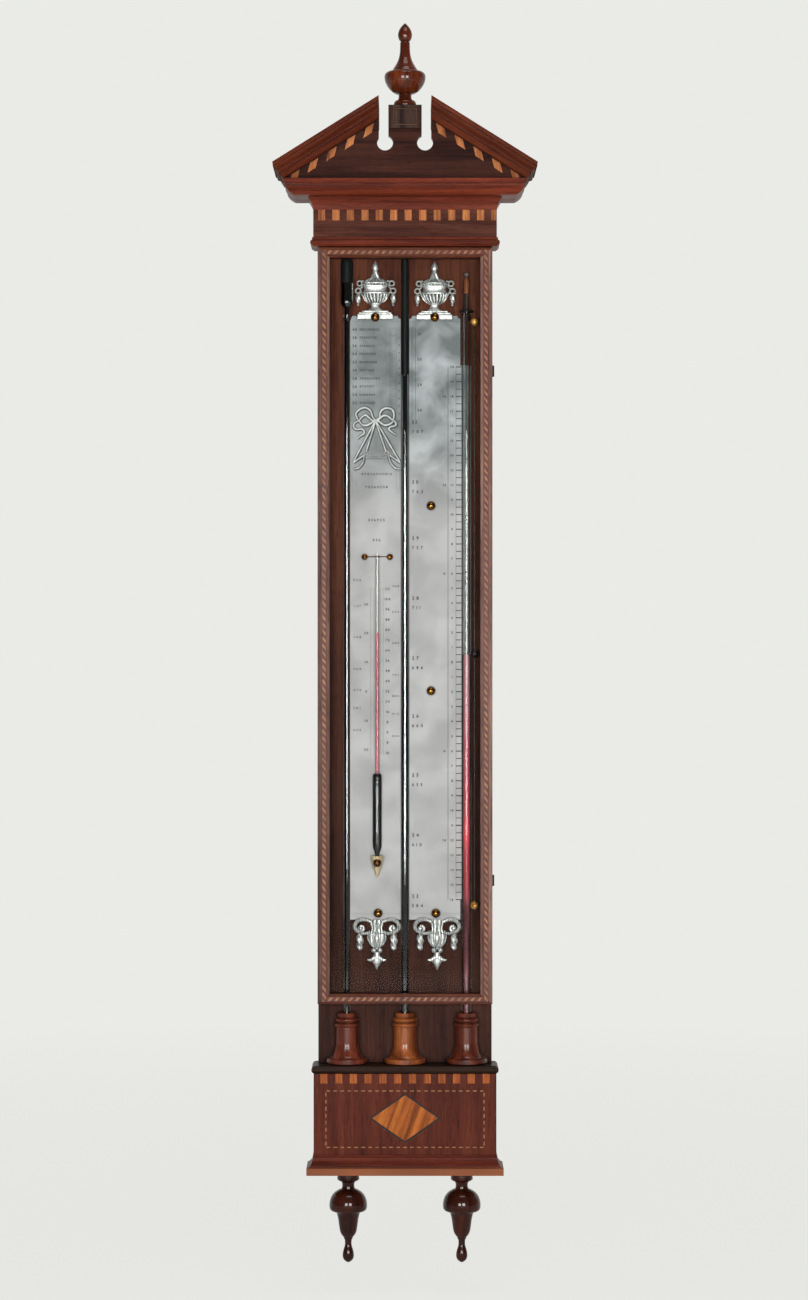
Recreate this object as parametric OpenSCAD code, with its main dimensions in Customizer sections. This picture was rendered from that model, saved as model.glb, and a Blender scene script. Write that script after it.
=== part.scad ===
// Wall barometer: straight mercury tube, contra-barometer and thermometer in a long wooden case.
// Millimetres, +Z up, the front faces -Y, the wall is the plane y = 0.
// The origin is the centre of the hanging hole, on the wall plane.

/* [Case] */
// Width of the case body and of its door
case_w = 178; // [174:1:186]
// Thickness of the backboard
board_t = 10; // [9:0.5:12]
// Thickness of each case side
side_t = 8; // [7:0.5:9]
// Depth of the case sides in front of the backboard
side_depth = 18; // [17.5:0.5:24]
// Thickness of the head board and the foot board
cross_board_t = 6; // [4:0.5:7]
// Height of the open stretch between the door and the shelf
bell_space = 63; // [60:1:75]

/* [Door] */
// Height of the door
door_h = 770; // [750:1:800]
// Thickness of the door
door_t = 12; // [11:0.5:14]
// Width of the two door stiles
stile_w = 12.2; // [11.5:0.1:13]
// Width of the two door rails
rail_w = 10.2; // [9:0.1:12]
// Gap between the door and the case behind it
door_gap = 0.3; // [0.2:0.05:0.5]
// Gap between the top of the door and the bead moulding
door_head_gap = 1.2; // [0.6:0.1:2]
// Width of the rope inlay
rope_w = 5.2; // [4:0.1:6]
// Distance of the rope inlay from the outer edge of a stile
rope_stile_in = 4; // [3:0.1:5]
// Distance of the rope inlay from the outer edge of a rail
rope_rail_in = 2.3; // [1.5:0.1:3.5]
// Thickness of the inlay in the door and in the case
inlay_t = 1; // [0.6:0.1:1.5]
// Thickness of the glass pane
pane_t = 2; // [1.5:0.1:3]
// Width of the rebate that holds the pane
rebate_w = 4; // [3:0.1:5]
// Thickness of the glazing beads behind the pane
glazing_t = 3; // [2:0.1:4]

/* [Hinges] */
// Height of each hinge
hinge_h = 11; // [9:0.5:16]
// Distance from an end of the door to the middle of the nearer hinge
hinge_inset = 125; // [80:1:180]
// Radius of the hinge knuckles
knuckle_r = 1.6; // [1.5:0.05:2]
// Radius of the hinge pins
pin_r = 0.8; // [0.6:0.05:0.9]
// Thickness of the hinge leaves
leaf_t = 0.8; // [0.6:0.1:1]
// Width of the hinge leaves, from the pin outwards
leaf_w = 6; // [5:0.1:6.5]

/* [Head of the case] */
// Height of the bead moulding
bead_h = 9.1; // [8.3:0.1:12]
// Height of the frieze
frieze_h = 28; // [22:1:40]
// How far the frieze stands out beyond the case sides
frieze_out = 4.4; // [3:0.1:6]
// Height of the cavetto moulding
cavetto_h = 12.5; // [9:0.5:16]
// How far the cavetto moulding stands out at its top
cavetto_out = 5.2; // [3:0.1:8]
// Height of the corona moulding
corona_h = 15.5; // [14:0.5:20]
// How far the top of the corona stands out beyond the frieze
corona_out = 29; // [26:0.5:34]

/* [Pediment] */
// Slope of the raking cornices in degrees
rake_angle = 32; // [26:0.5:36]
// Thickness of the raking cornices, square to the slope
rake_t = 18.3; // [17:0.1:22]
// How far the lip of the raking cornices stands out beyond the corona
rake_out = 11; // [9:0.5:13]
// Width of the gap between the two raking cornices
rake_gap = 53; // [51:0.5:60]
// Thickness of the tympanum board
tympanum_t = 12; // [8:0.5:16]
// How far the tympanum lies behind the lip of the corona
tympanum_back = 4.5; // [2:0.5:8]
// Radius of the round ends of the two notches
notch_r = 8.1; // [7:0.1:8.5]
// Height of the centre of those round ends above the corona
notch_h = 36.5; // [30:0.5:40]
// Distance of the centre of those round ends from the middle
notch_x = 20.2; // [19.5:0.1:21]
// Width of the pedestal block
block_w = 33.6; // [31:0.2:36]
// Height of the pedestal block
block_h = 23.5; // [18:0.5:30]
// Depth of the pedestal block
block_d = 33; // [26:0.5:36]
// Height of the middle post of the tympanum above the corona
post_h = 50.7; // [48:0.1:56]
// Height of the finial
finial_h = 85.7; // [70:0.5:100]
// Largest radius of the finial
finial_r = 20.9; // [17:0.1:24]

/* [Box and base] */
// Thickness of the shelf
shelf_t = 8; // [6:0.5:10]
// How far the shelf nosing stands out beyond the box
shelf_out = 2.3; // [1.5:0.1:4]
// Height of the box
box_h = 82.4; // [78:0.2:100]
// How far the box sides stand out beyond the case sides
box_out = 4; // [3:0.1:6]
// Thickness of the box front
box_t = 5; // [4:0.1:6]
// Height of the base moulding
base_h = 20.2; // [17:0.2:26]
// How far the base moulding stands out
base_out = 7.2; // [6:0.1:12]
// Length of the turned pendants
pendant_h = 91.8; // [70:0.5:110]
// Largest radius of the turned pendants
pendant_r = 19.4; // [16:0.1:22]
// Distance of each pendant from the middle
pendant_x = 58; // [45:0.5:70]

/* [Inlay pattern] */
// Width of the light blocks
block_inlay_w = 7.3; // [5:0.1:9]
// Height of the light blocks of the frieze
frieze_inlay_h = 10.8; // [6:0.1:14]
// Height of the light blocks of the box
box_inlay_h = 9.8; // [6:0.1:14]
// Number of light blocks on the frieze
frieze_inlay_n = 13; // [9:1:15]
// Number of light blocks on the box
box_inlay_n = 12; // [8:1:14]
// Number of light blocks on each half of the tympanum
rake_inlay_n = 5; // [3:1:5]
// Half width of the diamond on the box
diamond_w = 33.5; // [25:0.5:38]
// Half height of the diamond on the box
diamond_h = 23.4; // [16:0.2:26]
// Width of the dark line round the diamond
diamond_line = 1.7; // [1:0.1:3]
// Distance of the dashed line from the edges of the box front
dash_in = 12.5; // [10:0.5:14]
// Pitch of the dashes
dash_pitch = 7.1; // [6:0.1:9]

/* [Bell covers] */
// Height of the bell covers
bell_h = 52; // [46:0.5:56]
// Radius of the body of the bell covers
bell_r = 11.9; // [11.6:0.1:13]
// Radius of the foot of the bell covers
bell_foot_r = 21.2; // [17:0.1:21.8]
// Wall thickness of the bell covers
bell_wall = 1.8; // [1.4:0.1:2]
// Clearance of the bell covers to the board and the shelf
bell_gap = 0.3; // [0.2:0.05:0.6]

/* [Plates] */
// Thickness of the pewter plates
plate_t = 1.5; // [1:0.1:2]
// Distance from the bottom of the plates to the bottom of the door
plate_rise = 83.4; // [76:0.2:100]
// Width of the left plate
plate_left_w = 52.8; // [50:0.2:54]
// Width of the right plate
plate_right_w = 52.4; // [50:0.2:52.6]
// Distance of the plates from the middle of the straight tube
plate_gap = 4.4; // [4.2:0.1:5]
// Distance from the top of the door to the top of the plates
plate_drop = 66.6; // [62:0.2:72]
// How far the strip behind the right contra tube reaches beyond the tube's axis
strip_over = 4.7; // [3.7:0.1:5]
// Radius of the domed heads of the brass pins
dome_r = 4.6; // [3.5:0.1:5]

/* [Glass] */
// Distance of the tube axes from the wall
tube_d = 17; // [16.9:0.05:17.2]
// Outer radius of the straight tube
tube_r = 4; // [3.4:0.1:4.1]
// Bore radius of the straight tube
tube_bore_r = 2.6; // [1.5:0.1:2.8]
// Height of the mercury column above the cistern level
mercury_column = 760; // [720:1:780]
// Distance of the left limb of the contra-barometer from the middle
limb_left_x = 59.5; // [58.5:0.1:61.5]
// Distance of the right limb of the contra-barometer from the guide wire
limb_wire_gap = 7.9; // [7.4:0.1:8.4]
// Outer radius of the thin glass of the contra-barometer
limb_r = 3.3; // [2.6:0.1:3.6]
// Bore radius of the thin glass of the contra-barometer
limb_bore_r = 1.5; // [0.8:0.1:2]
// Outer radius of the two bulbs of the contra-barometer
bulb_r = 6.4; // [5.4:0.1:7]
// Inner radius of the two bulbs of the contra-barometer
bulb_bore_r = 5.3; // [4.2:0.1:5.3]
// Length of the upper bulb
upper_bulb_l = 53; // [40:1:60]
// Length of the lower bulb
lower_bulb_l = 38; // [30:0.5:40]
// Outer radius of the open right tube
contra_r = 5; // [4.4:0.1:5]
// Bore radius of the open right tube
contra_bore_r = 2.3; // [1.6:0.1:2.6]
// Distance from the top of the door to the open mouth of the right tube
mouth_drop = 64.5; // [60:0.5:70]
// Distance from the top of the door to the top of the red column
spirit_drop = 414.6; // [150:1:650]
// Radius of the tube bends in the box
bend_r = 12; // [10:0.5:16]

/* [Thermometer] */
// Distance of the thermometer from the middle
thermo_x = 28.5; // [26:0.5:32]
// Outer radius of the thermometer tube
thermo_r = 2.5; // [2:0.1:3]
// Bore radius of the thermometer tube
thermo_bore_r = 0.9; // [0.5:0.1:1.2]
// Distance from the top of the plates to the top of the thermometer
thermo_drop = 244.5; // [225:1:255]
// Distance from the bottom of the plates to the bottom of the thermometer bulb
thermo_rise = 62.8; // [56:0.2:80]
// Length of the thermometer bulb
thermo_bulb_l = 89; // [70:1:95]
// Radius of the thermometer bulb
thermo_bulb_r = 4.7; // [4:0.1:4.9]
// Height of the red column above the bulb
thermo_column = 142.5; // [20:1:190]
// Length of the foot cup of the thermometer
thermo_cup_h = 23; // [18:0.5:28]
// Radius of the rim of the foot cup
thermo_cup_r = 7; // [6.6:0.1:8]

/* [Cistern] */
// Outer radius of the cistern
cistern_r = 12; // [11.5:0.1:12.2]
// Height of the cistern
cistern_h = 44; // [38:0.5:48]
// Wall thickness of the cistern
cistern_wall = 1.8; // [1.4:0.1:2]
// Height of the cistern above the base moulding
cistern_lift = 22; // [20:0.5:26]
// Depth of the mercury in the cistern
pool_h = 11; // [8:0.5:16]
// Height of the mouth of the straight tube above the cistern floor
mouth_lift = 4; // [2:0.5:6]

/* [Pointer and stopper] */
// Distance of the guide wire from the right case side
wire_in = 10; // [9.4:0.1:10.2]
// Distance of the guide wire from the wall
wire_d = 23; // [22.6:0.1:23.3]
// Radius of the guide wire
wire_r = 0.6; // [0.4:0.05:0.8]
// Radius of the pointer body
pointer_r = 4.1; // [3.4:0.1:4.2]
// Distance from the top of the door to the pointer
pointer_drop = 413.5; // [360:0.5:440]
// Distance from the pointer body's axis to the tip of its finger
finger_l = 12.1; // [9:0.1:13]
// Distance from the top of the door to the upper post of the guide wire
post_drop = 74; // [70:0.5:80]
// Distance between the two posts of the guide wire
post_span = 597.2; // [560:1:610]
// Length of the stopper above its collar
stopper_h = 42; // [30:0.5:44]
// Radius of the stopper's collar
stopper_r = 7; // [5.5:0.1:7.2]

/* [Hanging] */
// Radius of the hanging hole
hang_r = 4; // [3:0.1:5]
// Thickness of the hanging plate
hang_plate_t = 2; // [1.5:0.1:2.5]
// Width of the hanging plate
hang_plate_w = 26; // [22:0.5:34]
// Height of the hanging plate
hang_plate_h = 46; // [42:0.5:48]
// Depth of the recess for the nail head behind the hanging plate
hang_recess = 5; // [4:0.1:5.5]
// Distance of the top of the corona above the hanging hole
corona_lift = 6; // [2:0.5:10]

/* [Hidden] */
$fn = 48;

// Reach used by cuts that only have to pass beyond the wood
far = 400;
// Small overshoot of a cut past the face it opens
over = 0.5;

// Depths, measured forward from the wall
case_front = board_t + side_depth;
door_back = case_front + door_gap;
front_d = door_back + door_t;
corona_front = front_d + corona_out;
tympanum_front = corona_front - tympanum_back;
plate_front = board_t + plate_t;

// Half widths
case_x = case_w / 2;
inner_x = case_x - side_t;
frieze_x = case_x + frieze_out;
corona_x = frieze_x + corona_out;
box_x = case_x + box_out;
wire_x = inner_x - wire_in;
limb_right_x = wire_x - limb_wire_gap;

// Heights, from the hanging hole
corona_top = corona_lift;
corona_bottom = corona_top - corona_h;
frieze_top = corona_bottom - cavetto_h;
frieze_bottom = frieze_top - frieze_h;
bead_bottom = frieze_bottom - bead_h;
door_top = bead_bottom - door_head_gap;
door_bottom = door_top - door_h;
shelf_top = door_bottom - bell_space;
box_top = shelf_top - shelf_t;
base_top = box_top - box_h;
base_bottom = base_top - base_h;
plate_top = door_top - plate_drop;
plate_bottom = door_bottom + plate_rise;
post_top = corona_top + post_h;
block_top = post_top + block_h;

// Smooth curve with four control points
function bez(a, b, c, d, n = 10) = [
    for (i = [0:n])
        let (t = i / n, s = 1 - t)
        s * s * s * a + 3 * s * s * t * b + 3 * s * t * t * c + t * t * t * d
];
// Part of a circle round a centre
function arc(c, r, from, to, n = 8) = [
    for (i = [0:n])
        let (a = from + (to - from) * i / n)
        c + r * [cos(a), sin(a)]
];

// Block between two x, two depths and two heights
module slab(x0, x1, d0, d1, z0, z1) {
    translate([x0, -d1, z0])
        cube([x1 - x0, d1 - d0, z1 - z0]);
}
// Upright outline in x and z, as a board between two depths
module front_plate(d0, d1) {
    translate([0, -d0, 0])
        rotate([90, 0, 0])
            linear_extrude(d1 - d0)
                children();
}
// Outline in depth and height, drawn along x
module along_x(x0, x1) {
    translate([x0, 0, 0])
        rotate([90, 0, 90])
            linear_extrude(x1 - x0)
                children();
}
// Round bar along z
module rod(x, d, r, z0, z1) {
    translate([x, -d, z0])
        cylinder(h = z1 - z0, r = r);
}
// Board with one moulded contour on its front and both ends, mitred at the corners.
// The contour lists [projection, height] from the top edge down to the bottom edge.
module moulded_board(half_w, depth, contour) {
    last = len(contour) - 1;
    right = [for (p = contour) [half_w + p[0], p[1]]];
    left = [for (i = [last:-1:0]) [-half_w - contour[i][0], contour[i][1]]];
    intersection() {
        along_x(-far, far)
            polygon(concat(
                [[0, contour[0][1]]],
                [for (p = contour) [-depth - p[0], p[1]]],
                [[0, contour[last][1]]]
            ));
        front_plate(0, far)
            polygon(concat(right, left));
    }
}

// Wooden case
tongue_w = 90;
tongue_h = 24;
tube_hole_gap = 0.3;
shank_r = 1.2;
shank_l = 6;
screw_r = 1.6;
screw_l = 7;
screw_z = 15;
nail_room = 4;

// Places and radii of the three tubes; the right one changes its radius on the way up
function tube_spots(right_r) = [
    [-limb_left_x, limb_r],
    [0, tube_r],
    [limb_right_x, right_r]
];

module hang_cut() {
    // Shallow bed of the hanging plate
    slab(-hang_plate_w / 2, hang_plate_w / 2, -over, hang_plate_t,
        -hang_plate_h / 2, hang_plate_h / 2);
    // Recess for the head of the nail
    rotate([90, 0, 0])
        cylinder(h = hang_plate_t + hang_recess, r = hang_r + nail_room);
    for (z = [-screw_z, screw_z])
        translate([0, 0, z])
            rotate([90, 0, 0])
                cylinder(h = screw_l + hang_plate_t, r = screw_r);
}

module backboard() {
    color("#4a2a20")
    difference() {
        union() {
            slab(-case_x, case_x, 0, board_t, base_top, corona_bottom);
            slab(-tongue_w / 2, tongue_w / 2, 0, board_t, corona_bottom, corona_top + tongue_h);
        }
        hang_cut();
        for (p = dome_spots)
            pin_shank(p);
        for (z = post_heights)
            pin_shank([wire_x, z]);
        thermo_pin_shanks();
    }
}

module case_sides() {
    color("#5e3527")
    for (s = [-1, 1])
        difference() {
            slab(min(s * inner_x, s * case_x), max(s * inner_x, s * case_x),
                board_t, case_front, door_bottom, corona_bottom);
            if (s > 0) {
                hinge_recess();
                leaf_bed(case_front - leaf_t);
            }
        }
}

module case_head() {
    color("#5e3527")
    slab(-inner_x, inner_x, board_t, case_front, bead_bottom - cross_board_t, bead_bottom);
}

module case_foot() {
    color("#5e3527")
    difference() {
        slab(-inner_x, inner_x, board_t, case_front, door_bottom, door_bottom + cross_board_t);
        for (t = tube_spots(contra_r))
            rod(t[0], tube_d, t[1] + tube_hole_gap, door_bottom - over, door_bottom + cross_board_t + over);
    }
}

// Frieze and its light blocks
frieze_pitch = 14.72;
frieze_inlay_x0 = -85;
box_pitch = 15;

module block_row(n, x0, pitch, top, h, limit) {
    intersection() {
        for (i = [0:n - 1])
            slab(x0 + i * pitch - block_inlay_w / 2, x0 + i * pitch + block_inlay_w / 2,
                front_d - inlay_t, front_d, top - h, top);
        slab(-limit, limit, 0, far, top - h, top);
    }
}

module frieze_blocks() {
    block_row(frieze_inlay_n, frieze_inlay_x0, frieze_pitch, frieze_top, frieze_inlay_h, frieze_x);
}

module frieze_front() {
    color("#6b3327")
    difference() {
        slab(-frieze_x, frieze_x, case_front, front_d, frieze_bottom, frieze_top);
        frieze_blocks();
    }
}

module frieze_sides() {
    color("#6b3327")
    for (s = [-1, 1])
        slab(min(s * case_x, s * frieze_x), max(s * case_x, s * frieze_x),
            0, case_front, frieze_bottom, frieze_top);
}

module frieze_inlay() {
    color("#c98f58")
    frieze_blocks();
}

// Mouldings of the head
module case_core() {
    slab(-case_x, case_x, -over, case_front, -far * 3, corona_bottom + over);
}

bead_r = 3.1;
bead_top_fillet = 2.2;
bead_lip = 1.2;

module bead_moulding() {
    color("#5a1f18")
    difference() {
        moulded_board(frieze_x, front_d, concat(
            [[bead_lip, frieze_bottom], [bead_lip, frieze_bottom - bead_top_fillet]],
            arc([0, frieze_bottom - bead_top_fillet - bead_r], bead_r, 75, -80),
            [[0, bead_bottom]]
        ));
        case_core();
    }
}

module cavetto_moulding() {
    color("#6b2c22")
    difference() {
        moulded_board(frieze_x, front_d, bez(
            [cavetto_out, corona_bottom],
            [cavetto_out * 0.5, corona_bottom - cavetto_h * 0.3],
            [0.4, corona_bottom - cavetto_h * 0.6],
            [0, frieze_top]
        ));
        case_core();
    }
}

corona_fillet = 4.6;
corona_step = 1;
corona_round = 10;

module corona_moulding() {
    color("#7a3a28")
    difference() {
        moulded_board(frieze_x, front_d, concat(
            [[corona_out, corona_top], [corona_out - 0.2, corona_top - corona_fillet],
             [corona_out - corona_step, corona_top - corona_fillet]],
            bez(
                [corona_out - corona_step, corona_top - corona_fillet - 0.8],
                [corona_out - corona_step - 0.6, corona_top - corona_fillet - 5],
                [corona_out - corona_step - 4, corona_bottom + 2],
                [corona_out - corona_round, corona_bottom]
            )
        ));
        slab(-tongue_w / 2, tongue_w / 2, -over, board_t, corona_bottom - over, corona_top + over);
    }
}

// Pediment
slope = tan(rake_angle);
rake_lip = corona_out + rake_out;
open_x = rake_gap / 2;
rake_fillet = 4;
rake_cyma_h = 8;
rake_line_h = 1.5;
// Contour of the raking cornice as [projection beyond the frieze, height square to the slope]
rake_contour = concat(
    [[rake_lip, rake_t], [rake_lip - 0.5, rake_t - rake_fillet], [rake_lip - 1.8, rake_t - rake_fillet]],
    bez(
        [rake_lip - 1.8, rake_t - rake_fillet - 0.6],
        [rake_lip - 2, rake_t - rake_fillet - 5],
        [rake_lip - 6, rake_t - rake_fillet - 4],
        [rake_lip - 6.4, rake_t - rake_fillet - rake_cyma_h]
    ),
    [[rake_lip - 7.2, rake_t - rake_fillet - rake_cyma_h],
     [rake_lip - 7.2, rake_t - rake_fillet - rake_cyma_h - rake_line_h]],
    bez(
        [rake_lip - 7.6, rake_t - rake_fillet - rake_cyma_h - rake_line_h],
        [rake_lip - 8.2, 2.6],
        [corona_out + 1.4, 0.8],
        [corona_out, 0]
    )
);
// The same contour where the cornice turns level along the side
function return_z(p) = corona_top + p[1] / cos(rake_angle) - (p[0] - corona_out) * slope;

module raking_cornice() {
    lip_x = frieze_x + rake_lip;
    difference() {
        intersection() {
            // Front run, up the slope
            translate([-corona_x, 0, corona_top])
                rotate([0, -rake_angle, 0])
                    along_x(-far / 4, far / 2)
                        polygon(concat(
                            [[0, rake_t]],
                            [for (p = rake_contour) [-front_d - p[0], p[1]]],
                            [[0, 0]]
                        ));
            // Level run along the side, and the plumb cut at the inner end
            front_plate(0, far)
                polygon(concat(
                    [[-lip_x, far], [-lip_x, return_z(rake_contour[0])]],
                    [for (p = rake_contour) [-frieze_x - p[0], return_z(p)]],
                    [[-open_x, corona_top], [-open_x, far]]
                ));
        }
        slab(-tongue_w / 2, tongue_w / 2, -over, board_t, corona_bottom, corona_top + tongue_h);
    }
}

module raking_cornice_left() {
    color("#7a3a28")
    raking_cornice();
}

module raking_cornice_right() {
    color("#7a3a28")
    mirror([1, 0, 0])
        raking_cornice();
}

rake_inlay_pitch = 18.8;
rake_inlay_x0 = 35.3;
rake_inlay_w = 8.4;
rake_inlay_h = 8.6;
rake_inlay_in = 0.7;
rake_inlay_lean = 2.6;

// Height of the underside of the raking cornice at a distance from the middle
function rake_under(x) = corona_top + (corona_x - x) * slope;

// Light blocks under the cornices; as a cut they pass the front of the board by a little
module rake_blocks(past) {
    intersection() {
        front_plate(tympanum_front - inlay_t, tympanum_front + past)
            for (s = [-1, 1], i = [0:rake_inlay_n - 1]) {
                x = rake_inlay_x0 + i * rake_inlay_pitch;
                near = x - rake_inlay_w / 2;
                outer = x + rake_inlay_w / 2;
                low = rake_inlay_in + rake_inlay_h;
                polygon([
                    [s * near, rake_under(near) - rake_inlay_in],
                    [s * outer, rake_under(outer) - rake_inlay_in],
                    [s * (outer + rake_inlay_lean), rake_under(outer + rake_inlay_lean) - low],
                    [s * (near + rake_inlay_lean), rake_under(near + rake_inlay_lean) - low]
                ]);
            }
        slab(-far, far, 0, far, corona_top + rake_inlay_in, far);
    }
}

module tympanum() {
    notch_z = corona_top + notch_h;
    half = [
        [block_w / 2, post_top], [block_w / 2, notch_z], [open_x, notch_z],
        [open_x, rake_under(open_x)], [corona_x, corona_top]
    ];
    color("#3f2620")
    difference() {
        front_plate(tympanum_front - tympanum_t, tympanum_front)
            polygon(concat(half, [for (i = [len(half) - 1:-1:0]) [-half[i][0], half[i][1]]]));
        for (s = [-1, 1])
            translate([s * notch_x, 0, notch_z])
                rotate([90, 0, 0])
                    cylinder(h = far, r = notch_r);
        rake_blocks(over);
    }
}

module tympanum_inlay() {
    color("#c0804a")
    rake_blocks(0);
}

block_proud = 2;
block_back = tympanum_front + block_proud - block_d;
panel_in = 5;
panel_top_in = 3;
panel_sunk = 0.6;

module pedestal_block() {
    color("#6b3327")
    difference() {
        slab(-block_w / 2, block_w / 2, block_back, block_back + block_d, post_top, block_top);
        slab(-block_w / 2 + panel_in, block_w / 2 - panel_in,
            block_back + block_d - panel_sunk, block_back + block_d + over,
            post_top + panel_in, block_top - panel_top_in);
        translate([0, -block_back - block_d / 2, block_top - dowel_l])
            cylinder(h = dowel_l + over, r = dowel_r);
    }
}

dowel_r = 3;
dowel_l = 8;

// Turned outline in shares of the finial's own radius and height
module finial() {
    r = finial_r;
    h = finial_h;
    color("#6b3a26")
    translate([0, -block_back - block_d / 2, block_top])
        rotate_extrude()
            polygon(concat(
                [[0, -dowel_l], [dowel_r, -dowel_l], [dowel_r, 0], [0.5 * r, 0]],
                bez([0.5 * r, 0], [0.57 * r, 0.008 * h], [0.57 * r, 0.062 * h], [0.46 * r, 0.077 * h]),
                bez([0.43 * r, 0.08 * h], [0.33 * r, 0.09 * h],
                    [0.306 * r, 0.11 * h], [0.306 * r, 0.145 * h]),
                bez([0.306 * r, 0.15 * h], [0.72 * r, 0.17 * h], [r, 0.28 * h], [r, 0.355 * h]),
                bez([r, 0.36 * h], [r, 0.385 * h], [0.97 * r, 0.4 * h], [0.87 * r, 0.415 * h]),
                bez([0.64 * r, 0.425 * h], [0.5 * r, 0.5 * h],
                    [0.25 * r, 0.54 * h], [0.24 * r, 0.7 * h]),
                [[0.235 * r, 0.765 * h], [0.205 * r, 0.78 * h]],
                bez([0.26 * r, 0.79 * h], [0.42 * r, 0.85 * h], [0.36 * r, 0.93 * h], [0, h])
            ));
}

// Shelf, box and base
module shelf() {
    nose_r = shelf_t / 2;
    color("#2c1813")
    difference() {
        moulded_board(box_x, front_d,
            arc([shelf_out - nose_r, shelf_top - nose_r], nose_r, 90, -90, 12));
        slab(-case_x, case_x, -over, board_t, box_top - over, shelf_top + over);
        for (t = tube_spots(limb_r))
            rod(t[0], tube_d, t[1], box_top - over, shelf_top + over);
    }
}

module box_blocks() {
    block_row(box_inlay_n, -(box_inlay_n - 1) * box_pitch / 2, box_pitch, box_top, box_inlay_h, box_x);
}

diamond_drop = 4;
diamond_z = box_top - box_h / 2 - diamond_drop;
dash_l = 3.8;
dash_t = 1.2;
dash_end = 7.6;
dash_top = box_top - box_inlay_h - dash_end;
dash_bottom = base_top + dash_end;
dash_x = box_x - dash_in;

// The diamond, with each edge moved outwards
module rhombus(grow) {
    share = 1 + grow * norm([diamond_w, diamond_h]) / (diamond_w * diamond_h);
    w = diamond_w * share;
    h = diamond_h * share;
    translate([0, diamond_z])
        polygon([[-w, 0], [0, h], [w, 0], [0, -h]]);
}

module stringing_marks() {
    across = floor((2 * dash_x - dash_l) / dash_pitch);
    upright = floor((dash_top - dash_bottom - 2 * dash_l) / dash_pitch);
    middle_z = (dash_top + dash_bottom) / 2;
    front_plate(front_d - inlay_t, front_d) {
        difference() {
            rhombus(diamond_line);
            rhombus(0);
        }
        for (i = [0:across], z = [dash_top, dash_bottom])
            translate([(i - across / 2) * dash_pitch, z])
                square([dash_l, dash_t], center = true);
        for (i = [0:upright], x = [-dash_x, dash_x])
            translate([x, middle_z + (i - upright / 2) * dash_pitch])
                square([dash_t, dash_l], center = true);
    }
}

module box_front() {
    color("#55261d")
    difference() {
        slab(-box_x, box_x, front_d - box_t, front_d, base_top, box_top);
        box_blocks();
        front_plate(front_d - inlay_t, front_d + over)
            rhombus(0);
        stringing_marks();
    }
}

module box_sides() {
    color("#55261d")
    for (s = [-1, 1])
        slab(min(s * case_x, s * box_x), max(s * case_x, s * box_x),
            0, front_d - box_t, base_top, box_top);
}

module box_inlay() {
    color("#b9702f")
    box_blocks();
}

module diamond_inlay() {
    color("#b9713a")
    front_plate(front_d - inlay_t, front_d)
        rhombus(0);
}

module box_stringing() {
    color("#17110f")
    stringing_marks();
}

base_fillet = 7.2;
base_bead_r = 1.3;

module base_moulding() {
    cove_top = base_top - 2 * base_bead_r;
    cove_h = base_h - base_fillet - 2 * base_bead_r;
    color("#6d3425")
    difference() {
        moulded_board(box_x, front_d, concat(
            arc([-0.4, base_top - base_bead_r], base_bead_r, 90, -60, 6),
            bez(
                [0.6, cove_top],
                [1.4, cove_top - cove_h * 0.5],
                [base_out * 0.4, cove_top - cove_h * 0.85],
                [base_out - 0.8, cove_top - cove_h]
            ),
            [[base_out, base_bottom + base_fillet], [base_out, base_bottom]]
        ));
        for (s = [-1, 1])
            rod(s * pendant_x, pendant_d, dowel_r, base_bottom - over, base_bottom + dowel_l);
    }
}

pendant_d = 26;

// Turned outline in shares of the pendant's own radius and length
module pendant(x) {
    r = pendant_r;
    h = pendant_h;
    translate([x, -pendant_d, base_bottom])
        mirror([0, 0, 1])
            rotate_extrude()
                polygon(concat(
                    [[0, -dowel_l], [dowel_r, -dowel_l], [dowel_r, 0], [0.5 * r, 0]],
                    bez([0.5 * r, 0], [0.55 * r, 0.008 * h], [0.55 * r, 0.034 * h], [0.48 * r, 0.042 * h]),
                    bez([0.4 * r, 0.044 * h], [0.3 * r, 0.052 * h],
                        [0.3 * r, 0.08 * h], [0.3 * r, 0.137 * h]),
                    bez([0.33 * r, 0.141 * h], [0.7 * r, 0.185 * h], [r, 0.24 * h], [r, 0.325 * h]),
                    bez([r, 0.34 * h], [r, 0.375 * h], [0.97 * r, 0.4 * h], [0.87 * r, 0.405 * h]),
                    bez([0.7 * r, 0.41 * h], [0.5 * r, 0.44 * h], [0.55 * r, 0.52 * h], [0.44 * r, 0.58 * h]),
                    bez([0.43 * r, 0.59 * h], [0.42 * r, 0.68 * h],
                        [0.15 * r, 0.73 * h], [0.15 * r, 0.785 * h]),
                    bez([0.15 * r, 0.8 * h], [0.16 * r, 0.845 * h],
                        [0.31 * r, 0.87 * h], [0.34 * r, 0.93 * h]),
                    bez([0.34 * r, 0.945 * h], [0.3 * r, 0.985 * h], [0.15 * r, 0.99 * h], [0, h])
                ));
}

module pendants() {
    color("#3a1f18")
    for (s = [-1, 1])
        pendant(s * pendant_x);
}

// Plates, pins and ornaments
plate_left_x = -plate_gap - plate_left_w;
plate_right_end = plate_gap + plate_right_w;
strip_end = limb_right_x + strip_over;
strip_drop = 51;
strip_rise = 21;
strip_top = plate_top - strip_drop;
strip_bottom = plate_bottom + strip_rise;
corner_r = 3;
urn_x = 30.5;
// Distance of the brass pins from the top and the bottom edge of the plates
pin_top_in = 1.6;
pin_bottom_in = 6.6;
// The lower pin of each plate
pin_bottom_x = [-27.7, 31.7];
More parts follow.
